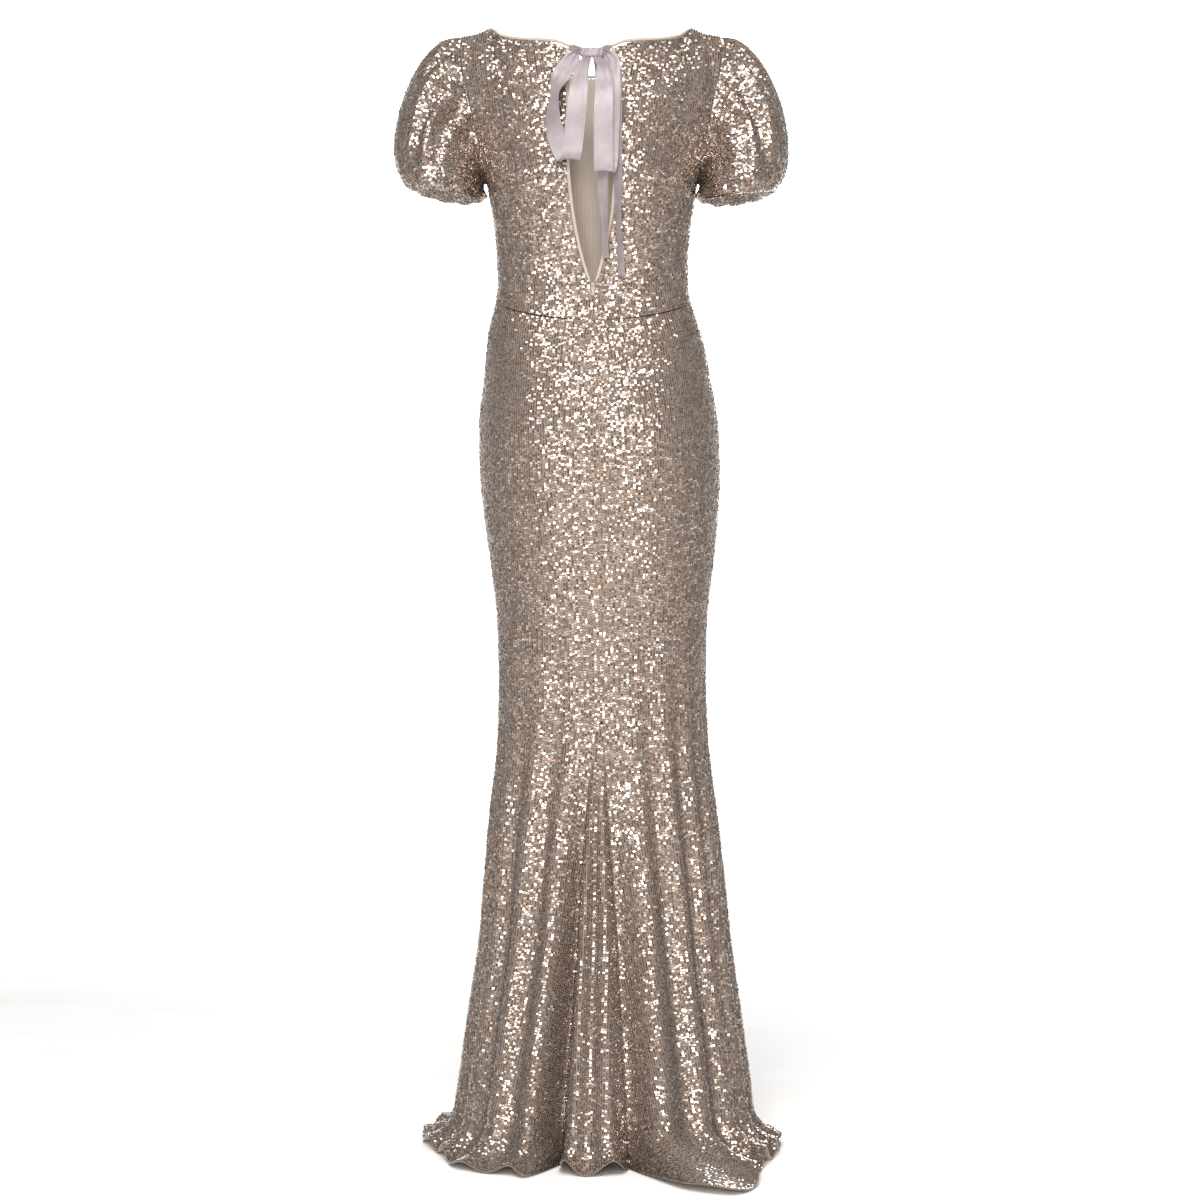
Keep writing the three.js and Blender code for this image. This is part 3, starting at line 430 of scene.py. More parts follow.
def sleeve_point(side, v):
    """Rows of a sleeve from its head to its opening, closed round."""
    ring, out, turn = armhole(side)
    along = np.roll(ring, -1, 0) - np.roll(ring, 1, 0)
    away = unit(np.cross(out, along)) * side
    away *= np.sign(away[:, :1] * side + 1e-9)
    over, around, face = (1 - np.cos(turn)) / 2, np.abs(np.sin(turn)), np.sign(np.sin(turn))
    sway = float(body("sway", 1400))
    start = ring + away * 2 * GAP
    lift = LEFT_SLEEVE_RISE * over if side > 0 else 0
    end = points(
        sway + side * (ARM["across"] - ARM["half_width"] * np.cos(turn)),
        ARM["half_depth"] * np.sin(turn),
        mix(ARM["inner"], ARM["outer"], over) + lift,
    )
    first = points(side * mix(9, 76, over), face * around * 16, mix(0, -11, over) + 8 * around)
    first += away * mix(1, 12, over)[:, None]
    second = points(side * mix(2, 92, over), face * around * 72, mix(6, -38, over) - 34 * around)
    corners = [start, start + first, end + second, end]
    weights = [(1 - v) ** 3, 3 * v * (1 - v) ** 2, 3 * v * v * (1 - v), v**3]
    p = sum(w[:, None, None] * c[None] for w, c in zip(weights, corners))
    v, turn = v[:, None], turn[None]
    middle = arm_line(side, v)
    cap = smooth((1 - np.cos(turn)) / 1.1)
    head = np.minimum(1, v / 0.09) * np.exp(-(((v - 0.1) / 0.42) ** 2))
    cuff = smooth((v - 0.55) / 0.3) * smooth((1.04 - v) / 0.12)
    pull = 1 + 0.5 * np.cos(3 * turn + side) + 0.3 * np.cos(5 * turn + 2)
    drift = 14 * turn + 0.5 * np.sin(4 * turn) + 0.6 * v * np.sin(2 * turn + side)
    # Gathers at the head, soft hollows round the middle, and gathers above the cuff.
    wave = 5.4 * cap * head * pull * np.cos(drift)
    wave = wave - 3.2 * cap * np.exp(-(((v - 0.4) / 0.3) ** 2)) * (1 + np.cos(7 * turn + 1 + side)) / 2
    wave = wave + 2.4 * cuff * np.cos(12 * turn + 1) * (1 + 0.3 * np.cos(5 * turn))
    return p + unit(p - middle) * (wave * np.minimum(1, v * 20))[..., None]


print("armhole round", round(float(np.linalg.norm(np.diff(armhole(1)[0], axis=0), axis=1).sum())), "mm")

# %% [markdown]
# ## Fine grids of points
# A panel is a grid of points with its outward directions, and the distances across and down the
# cloth, which a weave or a row of sequins follows. Creases are soft troughs, each between two
# places on the panel with its own depth and width, and the cloth dips a little into each seam.

# %% Grids with creases
CREASE_COLUMNS = "u0 v0 u1 v1 depth width"


def creases(*rows):
    return [dict(zip(CREASE_COLUMNS.split(), row)) for row in rows]


CREASES = {
    "bodice_back_left": creases(
        (0.95, 0.05, 0.55, 0.11, 3.0, 7), (0.98, 0.16, 0.6, 0.2, 2.6, 8),
        (0.97, 0.27, 0.7, 0.27, 2.0, 7), (0.12, 0.05, 0.5, 0.02, 1.6, 7),
        (0.93, 0.44, 0.7, 0.36, 2.6, 9), (0.98, 0.55, 0.75, 0.62, 2.4, 8),
        (0.2, 0.93, 0.4, 0.78, 1.8, 9), (0.72, 0.96, 0.8, 0.8, 2.0, 7),
    ),
    "bodice_back_right": creases(
        (0.96, 0.04, 0.5, 0.1, 3.2, 7), (0.97, 0.13, 0.6, 0.19, 2.6, 8),
        (0.97, 0.24, 0.66, 0.24, 2.2, 7), (0.1, 0.06, 0.42, 0.03, 1.8, 6),
        (0.94, 0.42, 0.66, 0.35, 2.8, 9), (0.97, 0.58, 0.72, 0.66, 2.2, 8),
        (0.22, 0.94, 0.45, 0.8, 1.8, 9), (0.68, 0.97, 0.82, 0.78, 2.4, 7),
    ),
    "bodice_front": creases(
        (0.03, 0.05, 0.22, 0.11, 2.8, 7), (0.02, 0.17, 0.18, 0.22, 2.4, 8),
        (0.97, 0.06, 0.76, 0.12, 2.8, 7), (0.98, 0.18, 0.82, 0.22, 2.4, 8),
        (0.05, 0.42, 0.22, 0.34, 2.6, 9), (0.95, 0.43, 0.78, 0.34, 2.6, 9),
        (0.33, 0.93, 0.42, 0.7, 1.6, 12), (0.66, 0.94, 0.58, 0.7, 1.6, 12),
        (0.4, 0.03, 0.62, 0.06, 1.6, 7),
    ),
    "skirt_back_left": creases(
        (0.03, 0.02, 0.34, 0.035, 2.2, 8), (0.95, 0.03, 0.55, 0.06, 2.4, 9),
        (0.98, 0.11, 0.6, 0.13, 2.0, 10), (0.05, 0.3, 0.45, 0.27, 2.2, 12),
        (0.1, 0.35, 0.6, 0.33, 1.8, 12), (0.9, 0.4, 0.6, 0.46, 1.8, 12),
    ),
    "skirt_back_right": creases(
        (0.03, 0.025, 0.3, 0.04, 2.2, 8), (0.96, 0.03, 0.55, 0.055, 2.6, 9),
        (0.98, 0.1, 0.62, 0.12, 2.0, 10), (0.04, 0.31, 0.4, 0.28, 2.2, 12),
        (0.12, 0.36, 0.55, 0.34, 1.8, 12), (0.92, 0.39, 0.64, 0.45, 1.8, 12),
    ),
    "skirt_front": creases(
        (0.02, 0.03, 0.22, 0.055, 2.4, 9), (0.98, 0.03, 0.78, 0.055, 2.4, 9),
        (0.3, 0.02, 0.48, 0.03, 1.8, 8), (0.72, 0.025, 0.56, 0.035, 1.8, 8),
        (0.1, 0.3, 0.36, 0.27, 2.0, 12), (0.88, 0.31, 0.62, 0.28, 2.0, 12),
        (0.3, 0.36, 0.6, 0.345, 1.8, 12),
    ),
}


def normals(grid, round_=False):
    """Directions square to a grid of points, whose columns may close round."""
    if round_:
        wide = np.roll(grid, -1, 1) - np.roll(grid, 1, 1)
    else:
        wide = np.gradient(grid, axis=1)
    return unit(np.cross(wide, np.gradient(grid, axis=0)))


def axis_of(grid, below=0):
    """The dress's middle line beside each point, or a given way below it."""
    return points(body("sway", grid[..., 2]), 0, grid[..., 2] - below)


def outward(grid, middle, round_=False):
    """The same directions, turned as a whole to face away from a middle."""
    found = normals(grid, round_)
    return found * np.sign(np.sum(found * (grid - middle)))


def crease(grid, out, surface, rows):
    """Presses soft troughs into a grid of points."""
    deep = np.zeros(grid.shape[:2])
    for row in rows:
        start = surface(np.array([[row["u0"]]]), np.array([[row["v0"]]]))[0, 0]
        end = surface(np.array([[row["u1"]]]), np.array([[row["v1"]]]))[0, 0]
        way = end - start
        along = ((grid - start) @ way) / (way @ way)
        bow = 5 * np.sin(math.pi * clamp(along)) * np.array([0, 0, 1.0])[:, None, None]
        near = start + clamp(along)[..., None] * way + np.moveaxis(bow, 0, -1)
        far = np.linalg.norm(grid - near, axis=-1)
        fade = smooth(1.15 - np.abs(2 * along - 1))
        deep += row["depth"] * np.exp(-((far / row["width"]) ** 2)) * fade
        deep -= 0.45 * row["depth"] * np.exp(-(((far - 1.9 * row["width"]) / row["width"]) ** 2)) * fade
    return grid - out * deep[..., None]


def flat_sizes(grid):
    """Distances across and down the cloth, from the middle of its first row."""
    wide = np.linalg.norm(np.diff(grid, axis=1), axis=-1)
    across = np.concatenate([np.zeros((len(grid), 1)), np.cumsum(wide, 1)], 1)
    across -= across[:, grid.shape[1] // 2][:, None]
    down = np.linalg.norm(np.diff(grid[:, grid.shape[1] // 2], axis=0), axis=-1)
    down = np.concatenate([[0], np.cumsum(down)])
    return across, down


def seam_dip(grid, out, edges, depth=0.5, width=2.6):
    """Lets the cloth sink a little where it is sewn to its neighbour."""
    across, down = flat_sizes(grid)
    far = {
        "low_u": across - across[:, :1],
        "high_u": across[:, -1:] - across,
        "low_v": np.broadcast_to(down[:, None], across.shape),
        "high_v": np.broadcast_to(down[-1] - down[:, None], across.shape),
    }
    deep = sum(depth * np.exp(-((far[edge] / width) ** 2)) for edge in edges)
    return grid - out * deep[..., None]


print("creases by hand", sum(len(rows) for rows in CREASES.values()))

# %% [markdown]
# ## Tools for meshes, nodes and colours
# A shell is built as two layers with closed rims, so light and the next tool see real cloth. One
# function adds any node with its settings and links. Colours are hex values as a paint chart gives
# them, turned into the linear light that the renderer works in.

# %% Helpers
SHIFT = np.array([-SHOULDER_MIDDLE, 0, -SHOULDER_HEIGHT])


def linear(hex_colour):
    """A hex sRGB colour as linear light with full alpha."""
    parts = [int(hex_colour[i : i + 2], 16) / 255 for i in (1, 3, 5)]
    light = [c / 12.92 if c <= 0.04045 else ((c + 0.055) / 1.055) ** 2.4 for c in parts]
    return (*light, 1.0)


def node(tree, kind, inputs=None, stops=(), **settings):
    """Adds a node with its settings and colour stops, and its inputs as values or links."""
    made = tree.nodes.new(kind)
    for key, value in settings.items():
        setattr(made, key, value)
    for _ in stops[2:]:
        made.color_ramp.elements.new(0.5)
    for number, (place, colour) in enumerate(stops):
        stop = made.color_ramp.elements[number]
        stop.position, stop.color = place, linear(colour)
    for key, value in (inputs or {}).items():
        if isinstance(value, bpy.types.NodeSocket):
            tree.links.new(value, made.inputs[key])
        else:
            made.inputs[key].default_value = value
    return made


def material(name, inputs):
    """A material with a Principled surface, and the tree to add more to."""
    made = bpy.data.materials.new(name)
    made.use_nodes = True
    tree = made.node_tree
    tree.nodes.clear()
    surface = node(tree, "ShaderNodeBsdfPrincipled", inputs)
    node(tree, "ShaderNodeOutputMaterial", {"Surface": surface.outputs[0]})
    return made, tree, surface


def placed(name, data):
    """A new object at the origin, linked to the scene."""
    made = bpy.data.objects.new(name, data)
    bpy.context.collection.objects.link(made)
    return made


def build(name, corners, faces, materials, slots=None, uvs=None, sharp=50):
    """A mesh object from corners in millimetres above the floor."""
    mesh = bpy.data.meshes.new(name)
    mesh.from_pydata(((np.asarray(corners) + SHIFT) / 1000).tolist(), [], faces)
    for each in materials:
        mesh.materials.append(each)
    if slots is not None:
        mesh.polygons.foreach_set("material_index", slots)
    if uvs is not None:
        ids = np.zeros(len(mesh.loops), int)
        mesh.loops.foreach_get("vertex_index", ids)
        mesh.uv_layers.new(name="cloth").data.foreach_set("uv", np.asarray(uvs)[ids].ravel())
    mesh.shade_smooth()
    mesh.set_sharp_from_angle(angle=math.radians(sharp))
    mesh.validate()
    return placed(name, mesh)


def volume(corners, faces):
    c = np.asarray(corners) - np.mean(corners, axis=0)
    quads = np.array(faces)
    a, b, d, e = (c[quads[:, i]] for i in range(4))
    return np.sum(a * np.cross(b, d)) + np.sum(a * np.cross(d, e))


def shell(name, grid, out, above, below, materials, round_=False):
    """Cloth with two faces and closed rims. above and below are distances from the surface."""
    rows, columns = grid.shape[:2]
    lift = np.asarray(above, float)
    outer = grid + out * (lift[..., None] if lift.ndim else lift)
    inner = grid + out * below
    corners = np.concatenate([outer.reshape(-1, 3), inner.reshape(-1, 3)])
    ids = np.arange(2 * rows * columns).reshape(2, rows, columns)
    if round_:
        ids = np.concatenate([ids, ids[:, :, :1]], 2)

    def quads(a, b, c, d):
        return np.stack([a, b, c, d], -1).reshape(-1, 4)

    o, i = ids
    parts = [
        quads(o[:-1, :-1], o[:-1, 1:], o[1:, 1:], o[1:, :-1]),
        quads(i[:-1, :-1], i[1:, :-1], i[1:, 1:], i[:-1, 1:]),
        quads(o[0, :-1], i[0, :-1], i[0, 1:], o[0, 1:]),
        quads(o[-1, :-1], o[-1, 1:], i[-1, 1:], i[-1, :-1]),
    ]
    if not round_:
        parts.append(quads(o[:-1, 0], o[1:, 0], i[1:, 0], i[:-1, 0]))
        parts.append(quads(o[:-1, -1], i[:-1, -1], i[1:, -1], o[1:, -1]))
    faces = np.concatenate(parts)
    if volume(corners, faces) < 0:
        faces = faces[:, ::-1]
    slots = np.zeros(len(faces), int)
    slots[len(parts[0]) : len(parts[0]) + len(parts[1])] = len(materials) - 1
    across, down = flat_sizes(grid)
    flat = np.stack([across, np.broadcast_to(down[:, None], across.shape)], -1).reshape(-1, 2)
    uvs = np.concatenate([flat, flat]) / 1000
    return build(name, corners, faces.tolist(), materials, slots, uvs)


print("sequin cloth colour in linear light", [round(c, 3) for c in linear("#9f8e83")])

# %% [markdown]
# ## Materials
# The sequins are discs of thin polyester film, metallised and lacquered champagne. They are glossy
# and each hangs from one thread, so they catch the light one by one. A few have a warmer lacquer.
# The colour of each disc comes from a number that is stored on it when it is sewn on.

# %% Champagne sequins, metallised polyester film
# Gives the eye small hard flashes, each on or off, over a soft champagne tone.
sequin_film, tree, surface = material(
    "metallised_polyester_sequins", {"Metallic": 0.88, "Roughness": 0.2, "Coat Weight": 0.3}
)
shade = node(tree, "ShaderNodeAttribute", attribute_name="shade")
tint = node(
    tree, "ShaderNodeValToRGB", {"Fac": shade.outputs["Fac"]},
    stops=[(0.0, "#7d6c60"), (0.3, "#9b8a7e"), (0.65, "#b1a297"), (0.9, "#c8bdb4"), (0.97, "#ad8469")],
)
tree.links.new(tint.outputs["Color"], surface.inputs["Base Color"])
print("sequin film ready")

# %% [markdown]
# The knit under the sequins is a fine nude jersey. It is matt, and ribbed by the sewing threads
# that hold the rows of sequins, 3.6 mm apart. On the face under the sequins its colour is painted
# much darker than the knit's own nude: painted shade under and between the discs. The wrong side
# shows inside the dress in the knit's own paler nude, with the same ribs. Both read the cloth's own
# distances, so the ribs follow the grain. The binding and the zip's tape are woven, and only their
# spacing and depth differ, so one function does all four.

# %% Knitted and woven grounds


def cloth_places(tree):
    """Places on the flat cloth in millimetres, across and down."""
    cloth = node(tree, "ShaderNodeUVMap", uv_map="cloth")
    return node(tree, "ShaderNodeMapping", {0: cloth.outputs[0], "Scale": (1000, 1000, 1000)}).outputs[0]


def ribbed(name, dark, pale, spacing, depth, roughness):
    """A matt cloth with ribs along the grain. spacing is in millimetres and depth in metres."""
    made, tree, surface = material(name, {"Roughness": roughness, "Sheen Weight": 0.25})
    places = cloth_places(tree)
    ribs = node(
        tree, "ShaderNodeTexWave",
        {"Vector": places, "Scale": math.pi / (10 * spacing), "Distortion": 0.6, "Detail": 1},
        wave_type="BANDS", bands_direction="X",
    )
    stitch = node(tree, "ShaderNodeTexNoise", {"Vector": places, "Scale": 0.9, "Detail": 3})
    blend = node(
        tree, "ShaderNodeMix",
        {"Factor": 0.45, 2: ribs.outputs["Fac"], 3: stitch.outputs["Fac"]}, data_type="FLOAT",
    )
    tint = node(
        tree, "ShaderNodeValToRGB", {"Fac": blend.outputs[0]}, stops=[(0.25, dark), (0.75, pale)]
    )
    tree.links.new(tint.outputs["Color"], surface.inputs["Base Color"])
    bump = node(tree, "ShaderNodeBump", {"Height": blend.outputs[0], "Strength": 0.6, "Distance": depth})
    tree.links.new(bump.outputs[0], surface.inputs["Normal"])
    return made


# Gives dark soft gaps between the discs: the nude ground is painted darker, as painted shade under and
# between them.
jersey_painted_shade = ribbed("nude_jersey_ground_painted_shade", "#564a40", "#8a7869", 3.6, 0.0008, 0.8)
# Gives the open neck and keyhole a pale, quiet inside.
wrong_side = ribbed("nude_jersey_wrong_side", "#b3a395", "#c2b4a7", 3.6, 0.0002, 0.85)
# Gives the edges a thin matt line. Its thread of 0.7 mm is drawn coarser than real, so that it shows.
binding_tape = ribbed("cotton_bias_binding", "#9c8c80", "#b5a69a", 0.7, 0.0003, 0.8)
# Gives the inside of the zip a fine even weave, drawn coarser than real for the same reason.
zip_tape = ribbed("woven_polyester_zip_tape", "#a08b78", "#b8a390", 0.8, 0.0003, 0.85)
print("knits ready")

# %% [markdown]
# The ribbon is polyester satin. Long warp threads lie on its face, so its highlight is broad and
# silky and stretched across the ribbon.

# %% Satin ribbon, polyester
# Gives the bow a smooth mauve-grey sheen against the glitter.
WARP_SPACING = 0.9  # millimetres, coarser than the real threads, so that they show
CLOUD_SIZE = 20  # millimetres
satin, tree, surface = material(
    "polyester_satin_ribbon",
    {"Roughness": 0.36, "Sheen Weight": 0.35, "Sheen Roughness": 0.4, "Anisotropic": 0.5,
     "Specular IOR Level": 0.65},
)
places = cloth_places(tree)
warp = node(
    tree, "ShaderNodeTexWave",
    {"Vector": places, "Scale": math.pi / (10 * WARP_SPACING), "Distortion": 1.5, "Detail": 2},
    wave_type="BANDS", bands_direction="X",
)
clouds = node(tree, "ShaderNodeTexNoise", {"Vector": places, "Scale": 1 / CLOUD_SIZE, "Detail": 4})
tint = node(
    tree, "ShaderNodeValToRGB", {"Fac": clouds.outputs["Fac"]}, stops=[(0.3, "#7d7173"), (0.7, "#918587")]
)
tree.links.new(tint.outputs["Color"], surface.inputs["Base Color"])
bump = node(tree, "ShaderNodeBump", {"Height": warp.outputs["Fac"], "Strength": 0.25, "Distance": 0.0002})
tree.links.new(bump.outputs[0], surface.inputs["Normal"])
print("satin ready")

# %% [markdown]
# The zip's slider and tab are zinc castings with a pale baked enamel, slightly worn at the edges.
# The teeth are one coil of nylon. The sewing thread is spun polyester.

# %% Enamelled zinc, nylon coil and thread


def mottled(name, inputs, specks, dark, pale, spread=0.2, detail=2):
    """A finish that varies softly between two colours, with so many specks in a millimetre."""
    made, tree, surface = material(name, inputs)
    place = node(tree, "ShaderNodeTexCoord")
    noise = node(
        tree, "ShaderNodeTexNoise",
        {"Vector": place.outputs["Object"], "Scale": 1000 * specks, "Detail": detail},
    )
    tint = node(
        tree, "ShaderNodeValToRGB", {"Fac": noise.outputs["Fac"]},
        stops=[(0.5 - spread, dark), (0.5 + spread, pale)],
    )
    tree.links.new(tint.outputs["Color"], surface.inputs["Base Color"])
    return made


# Gives the slider and tab a dull painted look with faint wear, not a bright metal one.
enamel = mottled(
    "enamelled_zinc", {"Metallic": 0.2, "Roughness": 0.5, "Coat Weight": 0.1},
    0.9, "#75695e", "#8f8378", spread=0.15, detail=4,
)
# Gives the teeth an even waxy shine.
coil_nylon = mottled("nylon_zip_coil", {"Roughness": 0.45}, 0.7, "#b8a593", "#c9b8a7")
# Gives the stitches a soft pale dot each.
thread = mottled(
    "spun_polyester_thread", {"Roughness": 0.7, "Sheen Weight": 0.3}, 1.5, "#b5a18d", "#d2c2b1"
)
print("materials", len(bpy.data.materials))

# %% [markdown]
# ## Sewing on with Geometry Nodes
# Sequins, stitches and zip teeth are all the same job: copies of a small shape on many places, each
# turned to the cloth. One node tree does it. The places carry two directions, out of the cloth and
# along the grain. Each copy may be tilted and sized at random from a fixed seed, and it keeps one
# random number for its colour.

# %% The node tree
sew_on = bpy.data.node_groups.new("Sew on", "GeometryNodeTree")
for name, kind in [
    ("Places", "NodeSocketGeometry"), ("Shape", "NodeSocketObject"), ("Tilt", "NodeSocketFloat"),
    ("Smallest", "NodeSocketFloat"), ("Seed", "NodeSocketInt"), ("Material", "NodeSocketMaterial"),
]:
    sew_on.interface.new_socket(name, in_out="INPUT", socket_type=kind)
sew_on.interface.new_socket("Sewn", in_out="OUTPUT", socket_type="NodeSocketGeometry")
given = node(sew_on, "NodeGroupInput").outputs
out_way = node(sew_on, "GeometryNodeInputNamedAttribute", {"Name": "outward"}, data_type="FLOAT_VECTOR")
grain_way = node(sew_on, "GeometryNodeInputNamedAttribute", {"Name": "grain"}, data_type="FLOAT_VECTOR")
facing = node(
    sew_on, "FunctionNodeAlignRotationToVector", {"Vector": out_way.outputs[0]}, axis="Z"
)
turned = node(
    sew_on, "FunctionNodeAlignRotationToVector",
    {"Rotation": facing.outputs[0], "Vector": grain_way.outputs[0]}, axis="Y", pivot_axis="Z",
)
lean = node(
    sew_on, "FunctionNodeRandomValue",
    {0: (-1, -1, -1), 1: (1, 1, 1), "Seed": given["Seed"]}, data_type="FLOAT_VECTOR",
)
angle = node(
    sew_on, "ShaderNodeVectorMath", {0: lean.outputs[0], "Scale": given["Tilt"]}, operation="SCALE"
)
swing = node(sew_on, "FunctionNodeEulerToRotation", {0: angle.outputs[0]})
way = node(
    sew_on, "FunctionNodeRotateRotation",
    {"Rotation": turned.outputs[0], "Rotate By": swing.outputs[0]}, rotation_space="LOCAL",
)
size = node(
    sew_on, "FunctionNodeRandomValue", {2: given["Smallest"], 3: 1.0, "Seed": given["Seed"]},
    data_type="FLOAT",
)
shape = node(sew_on, "GeometryNodeObjectInfo", {"Object": given["Shape"]})
copies = node(
    sew_on, "GeometryNodeInstanceOnPoints",
    {"Points": given["Places"], "Instance": shape.outputs["Geometry"], "Rotation": way.outputs[0],
     "Scale": size.outputs[1]},
)
number = node(sew_on, "FunctionNodeRandomValue", {2: 0.0, 3: 1.0, "Seed": 7}, data_type="FLOAT")
marked = node(
    sew_on, "GeometryNodeStoreNamedAttribute",
    {"Geometry": copies.outputs[0], "Name": "shade", "Value": number.outputs[1]},
    data_type="FLOAT", domain="INSTANCE",
)
real = node(sew_on, "GeometryNodeRealizeInstances", {"Geometry": marked.outputs[0]})
painted = node(
    sew_on, "GeometryNodeSetMaterial", {"Geometry": real.outputs[0], "Material": given["Material"]}
)
node(sew_on, "NodeGroupOutput", {0: painted.outputs[0]})
print("node tree with", len(sew_on.nodes), "nodes")

# %% Sewing a shape on many places


def sewn(name, places, out, grain, shape, look, tilt=0.0, smallest=1.0, seed=1):
    """One plain mesh with a copy of the shape on each place, in millimetres above the floor."""
    mesh = bpy.data.meshes.new(name)
    mesh.vertices.add(len(places))
    mesh.vertices.foreach_set("co", ((places + SHIFT) / 1000).ravel())
    for key, ways in (("outward", out), ("grain", grain)):
        mesh.attributes.new(key, "FLOAT_VECTOR", "POINT").data.foreach_set("vector", ways.ravel())
    made = placed(name, mesh)
    modifier = made.modifiers.new("Sew on", "NODES")
    modifier.node_group = sew_on
    values = {"Shape": shape, "Tilt": tilt, "Smallest": smallest, "Seed": seed, "Material": look}
    for item in sew_on.interface.items_tree:
        if item.in_out == "INPUT" and item.name in values:
            modifier[item.identifier] = values[item.name]
    made.update_tag()
    bpy.context.view_layer.update()
    ready = made.evaluated_get(bpy.context.evaluated_depsgraph_get())
    plain = bpy.data.meshes.new_from_object(ready)
    made.modifiers.clear()
    made.data = plain
    return made


def sequin(sides, diameter=3.4):
    """A flat disc, about its own centre, in metres."""
    mesh = bpy.data.meshes.new("sequin")
    turns = np.arange(sides) * 2 * math.pi / sides
    rim = points(np.cos(turns), np.sin(turns), 0) * diameter / 2000
    mesh.from_pydata(rim.tolist(), [], [list(range(sides))])
    return placed("sequin", mesh)


SEQUINS = {sides: sequin(sides) for sides in (6, 7)}
ROW_SPACING = 3.6  # between the rows of sequins, across the grain
SEQUIN_SPACING = 3.5  # from sequin to sequin down a row
SEQUIN_TILT = 0.33  # most that a sequin leans each way, in radians
SEQUIN_HEIGHT = 0.7  # above the cloth, so that tilted discs stay clear of it


def sequin_places(grid, out, seed, margin=0.7):
    """Places in rows down the grain, each row with its own start."""
    random = np.random.RandomState(seed)
    across, down = flat_sizes(grid)
    starts = random.uniform(-0.5, 0.5, 4000)
    index = np.arange(len(down))
    grain = -unit(np.gradient(grid, axis=0))
    found = []
    for t in np.arange(down[0] + margin, down[-1], SEQUIN_SPACING):
        row = np.interp(t, down, index)
        low = min(int(row), len(down) - 2)
        ends = mix(across[low], across[low + 1], row - low)
        first = math.ceil((ends[0] + margin) / ROW_SPACING)
        last = math.floor((ends[-1] - margin) / ROW_SPACING)
        if last < first:
            continue
        strands = np.arange(first, last + 1)
        s = strands * ROW_SPACING + random.uniform(-0.25, 0.25, len(strands))
        u = np.interp(s, ends, np.arange(len(ends)))
        shift = starts[strands + 2000] * SEQUIN_SPACING + random.uniform(-0.3, 0.3, len(strands))
        v = np.interp(clamp(t + shift, down[0] + margin, down[-1] - margin), down, index)
        i, j = np.minimum(v.astype(int), len(down) - 2), np.minimum(u.astype(int), len(ends) - 2)
        a, b = (v - i)[:, None], (u - j)[:, None]
        spot = [
            mix(mix(g[i, j], g[i, j + 1], b), mix(g[i + 1, j], g[i + 1, j + 1], b), a)
            for g in (grid, out, grain)
        ]
        facing, run = unit(spot[1]), unit(spot[2])
        found.append(np.concatenate([spot[0] + facing * SEQUIN_HEIGHT, facing, run], 1))
    found = np.concatenate(found)
    return found[:, :3], found[:, 3:6], found[:, 6:]


print("sequins per square metre", round(1e6 / (ROW_SPACING * SEQUIN_SPACING)))

# %% [markdown]
# ## The cloth panels
# Nine panels are cut: three for the bodice, two sleeves, and four for the skirt. Each becomes a
# thin shell in the place of its solid, and gets its own mesh of sequins.

# %% Grids of the panels
QUALITY = 3  # points for each row and column that is counted below
GODET_ROW = 9  # the skirt level at which the godet starts


def skirt_rows(first):
    count = (SKIRT_ROWS - first) * QUALITY
    return first / SKIRT_ROWS + (1 - first / SKIRT_ROWS) * np.arange(count + 1) / count


def bodice_rows(count=19):
    return np.linspace(0, 1, count * QUALITY + 1) ** 0.92


PANELS = {
    "bodice_front": (front_point, 24, bodice_rows(), ["low_u", "high_u", "low_v"]),
}
for name, side in (("bodice_back_left", 1), ("bodice_back_right", -1)):
    PANELS[name] = (
        lambda u, v, side=side: back_point(side, u, v), 14, bodice_rows(), ["high_u", "low_v"],
    )
SKIRT_COLUMNS = {"skirt_back_left": 24, "skirt_back_right": 28, "back_godet": 14, "skirt_front": 44}
for name, columns in SKIRT_COLUMNS.items():
    let_in = name == "back_godet"
    PANELS[name] = (
        lambda u, v, name=name: skirt_point(name, u, v), columns,
        skirt_rows(GODET_ROW if let_in else 0), ["low_u", "high_u"] + ([] if let_in else ["low_v"]),
    )
grids = {}
for name, (surface_of, columns, rows, seams) in PANELS.items():
    across = np.linspace(0, 1, columns * QUALITY + 1)
    grid = surface_of(across[None, :], rows[:, None])
    out = outward(grid, axis_of(grid))
    grid = crease(grid, out, surface_of, CREASES.get(name, []))
    grid = seam_dip(grid, out, seams)
    grids[name] = (grid, outward(grid, axis_of(grid)), False)
for name, side in (("sleeve_left", 1), ("sleeve_right", -1)):
    rows = np.linspace(0, 1, 16 * QUALITY + 1)
    grid = np.roll(sleeve_point(side, rows), -1, 1)
    grids[name] = (grid, outward(grid, arm_line(side, rows[:, None]), True), True)
print("points", sum(grid.shape[0] * grid.shape[1] for grid, _, _ in grids.values()))

# %% Shells and their sequins
CLOTH_FACES = (-0.3, -1.7)  # the outer and inner face of the knit, under the solid's surface
shells, sequins = {}, {}
for number, (name, (grid, out, round_)) in enumerate(grids.items()):
    shells[name] = shell(f"{name}_cloth", grid, out, *CLOTH_FACES, [jersey_painted_shade, wrong_side], round_)
    if round_:
        grid, out = (np.concatenate([g, g[:, :1]], 1) for g in (grid, out))
    sides = 6 if name.startswith(("skirt", "back_godet")) else 7
    places, ways, grain = sequin_places(grid, out, 11 + number)
    sequins[name] = sewn(
        f"{name}_sequins", places, ways, grain, SEQUINS[sides], sequin_film,
        tilt=SEQUIN_TILT, smallest=0.9, seed=20 + number,
    )
    print(name, "sequins", len(places), "triangles", len(places) * (sides - 2))

# %% [markdown]
# ## Bound edges
# The back neck and the keyhole are bound with a narrow folded strip, sewn down with small stitches.
# The strips carry on the surface of their panel, with a rounded section.

# %% Bindings and their stitches


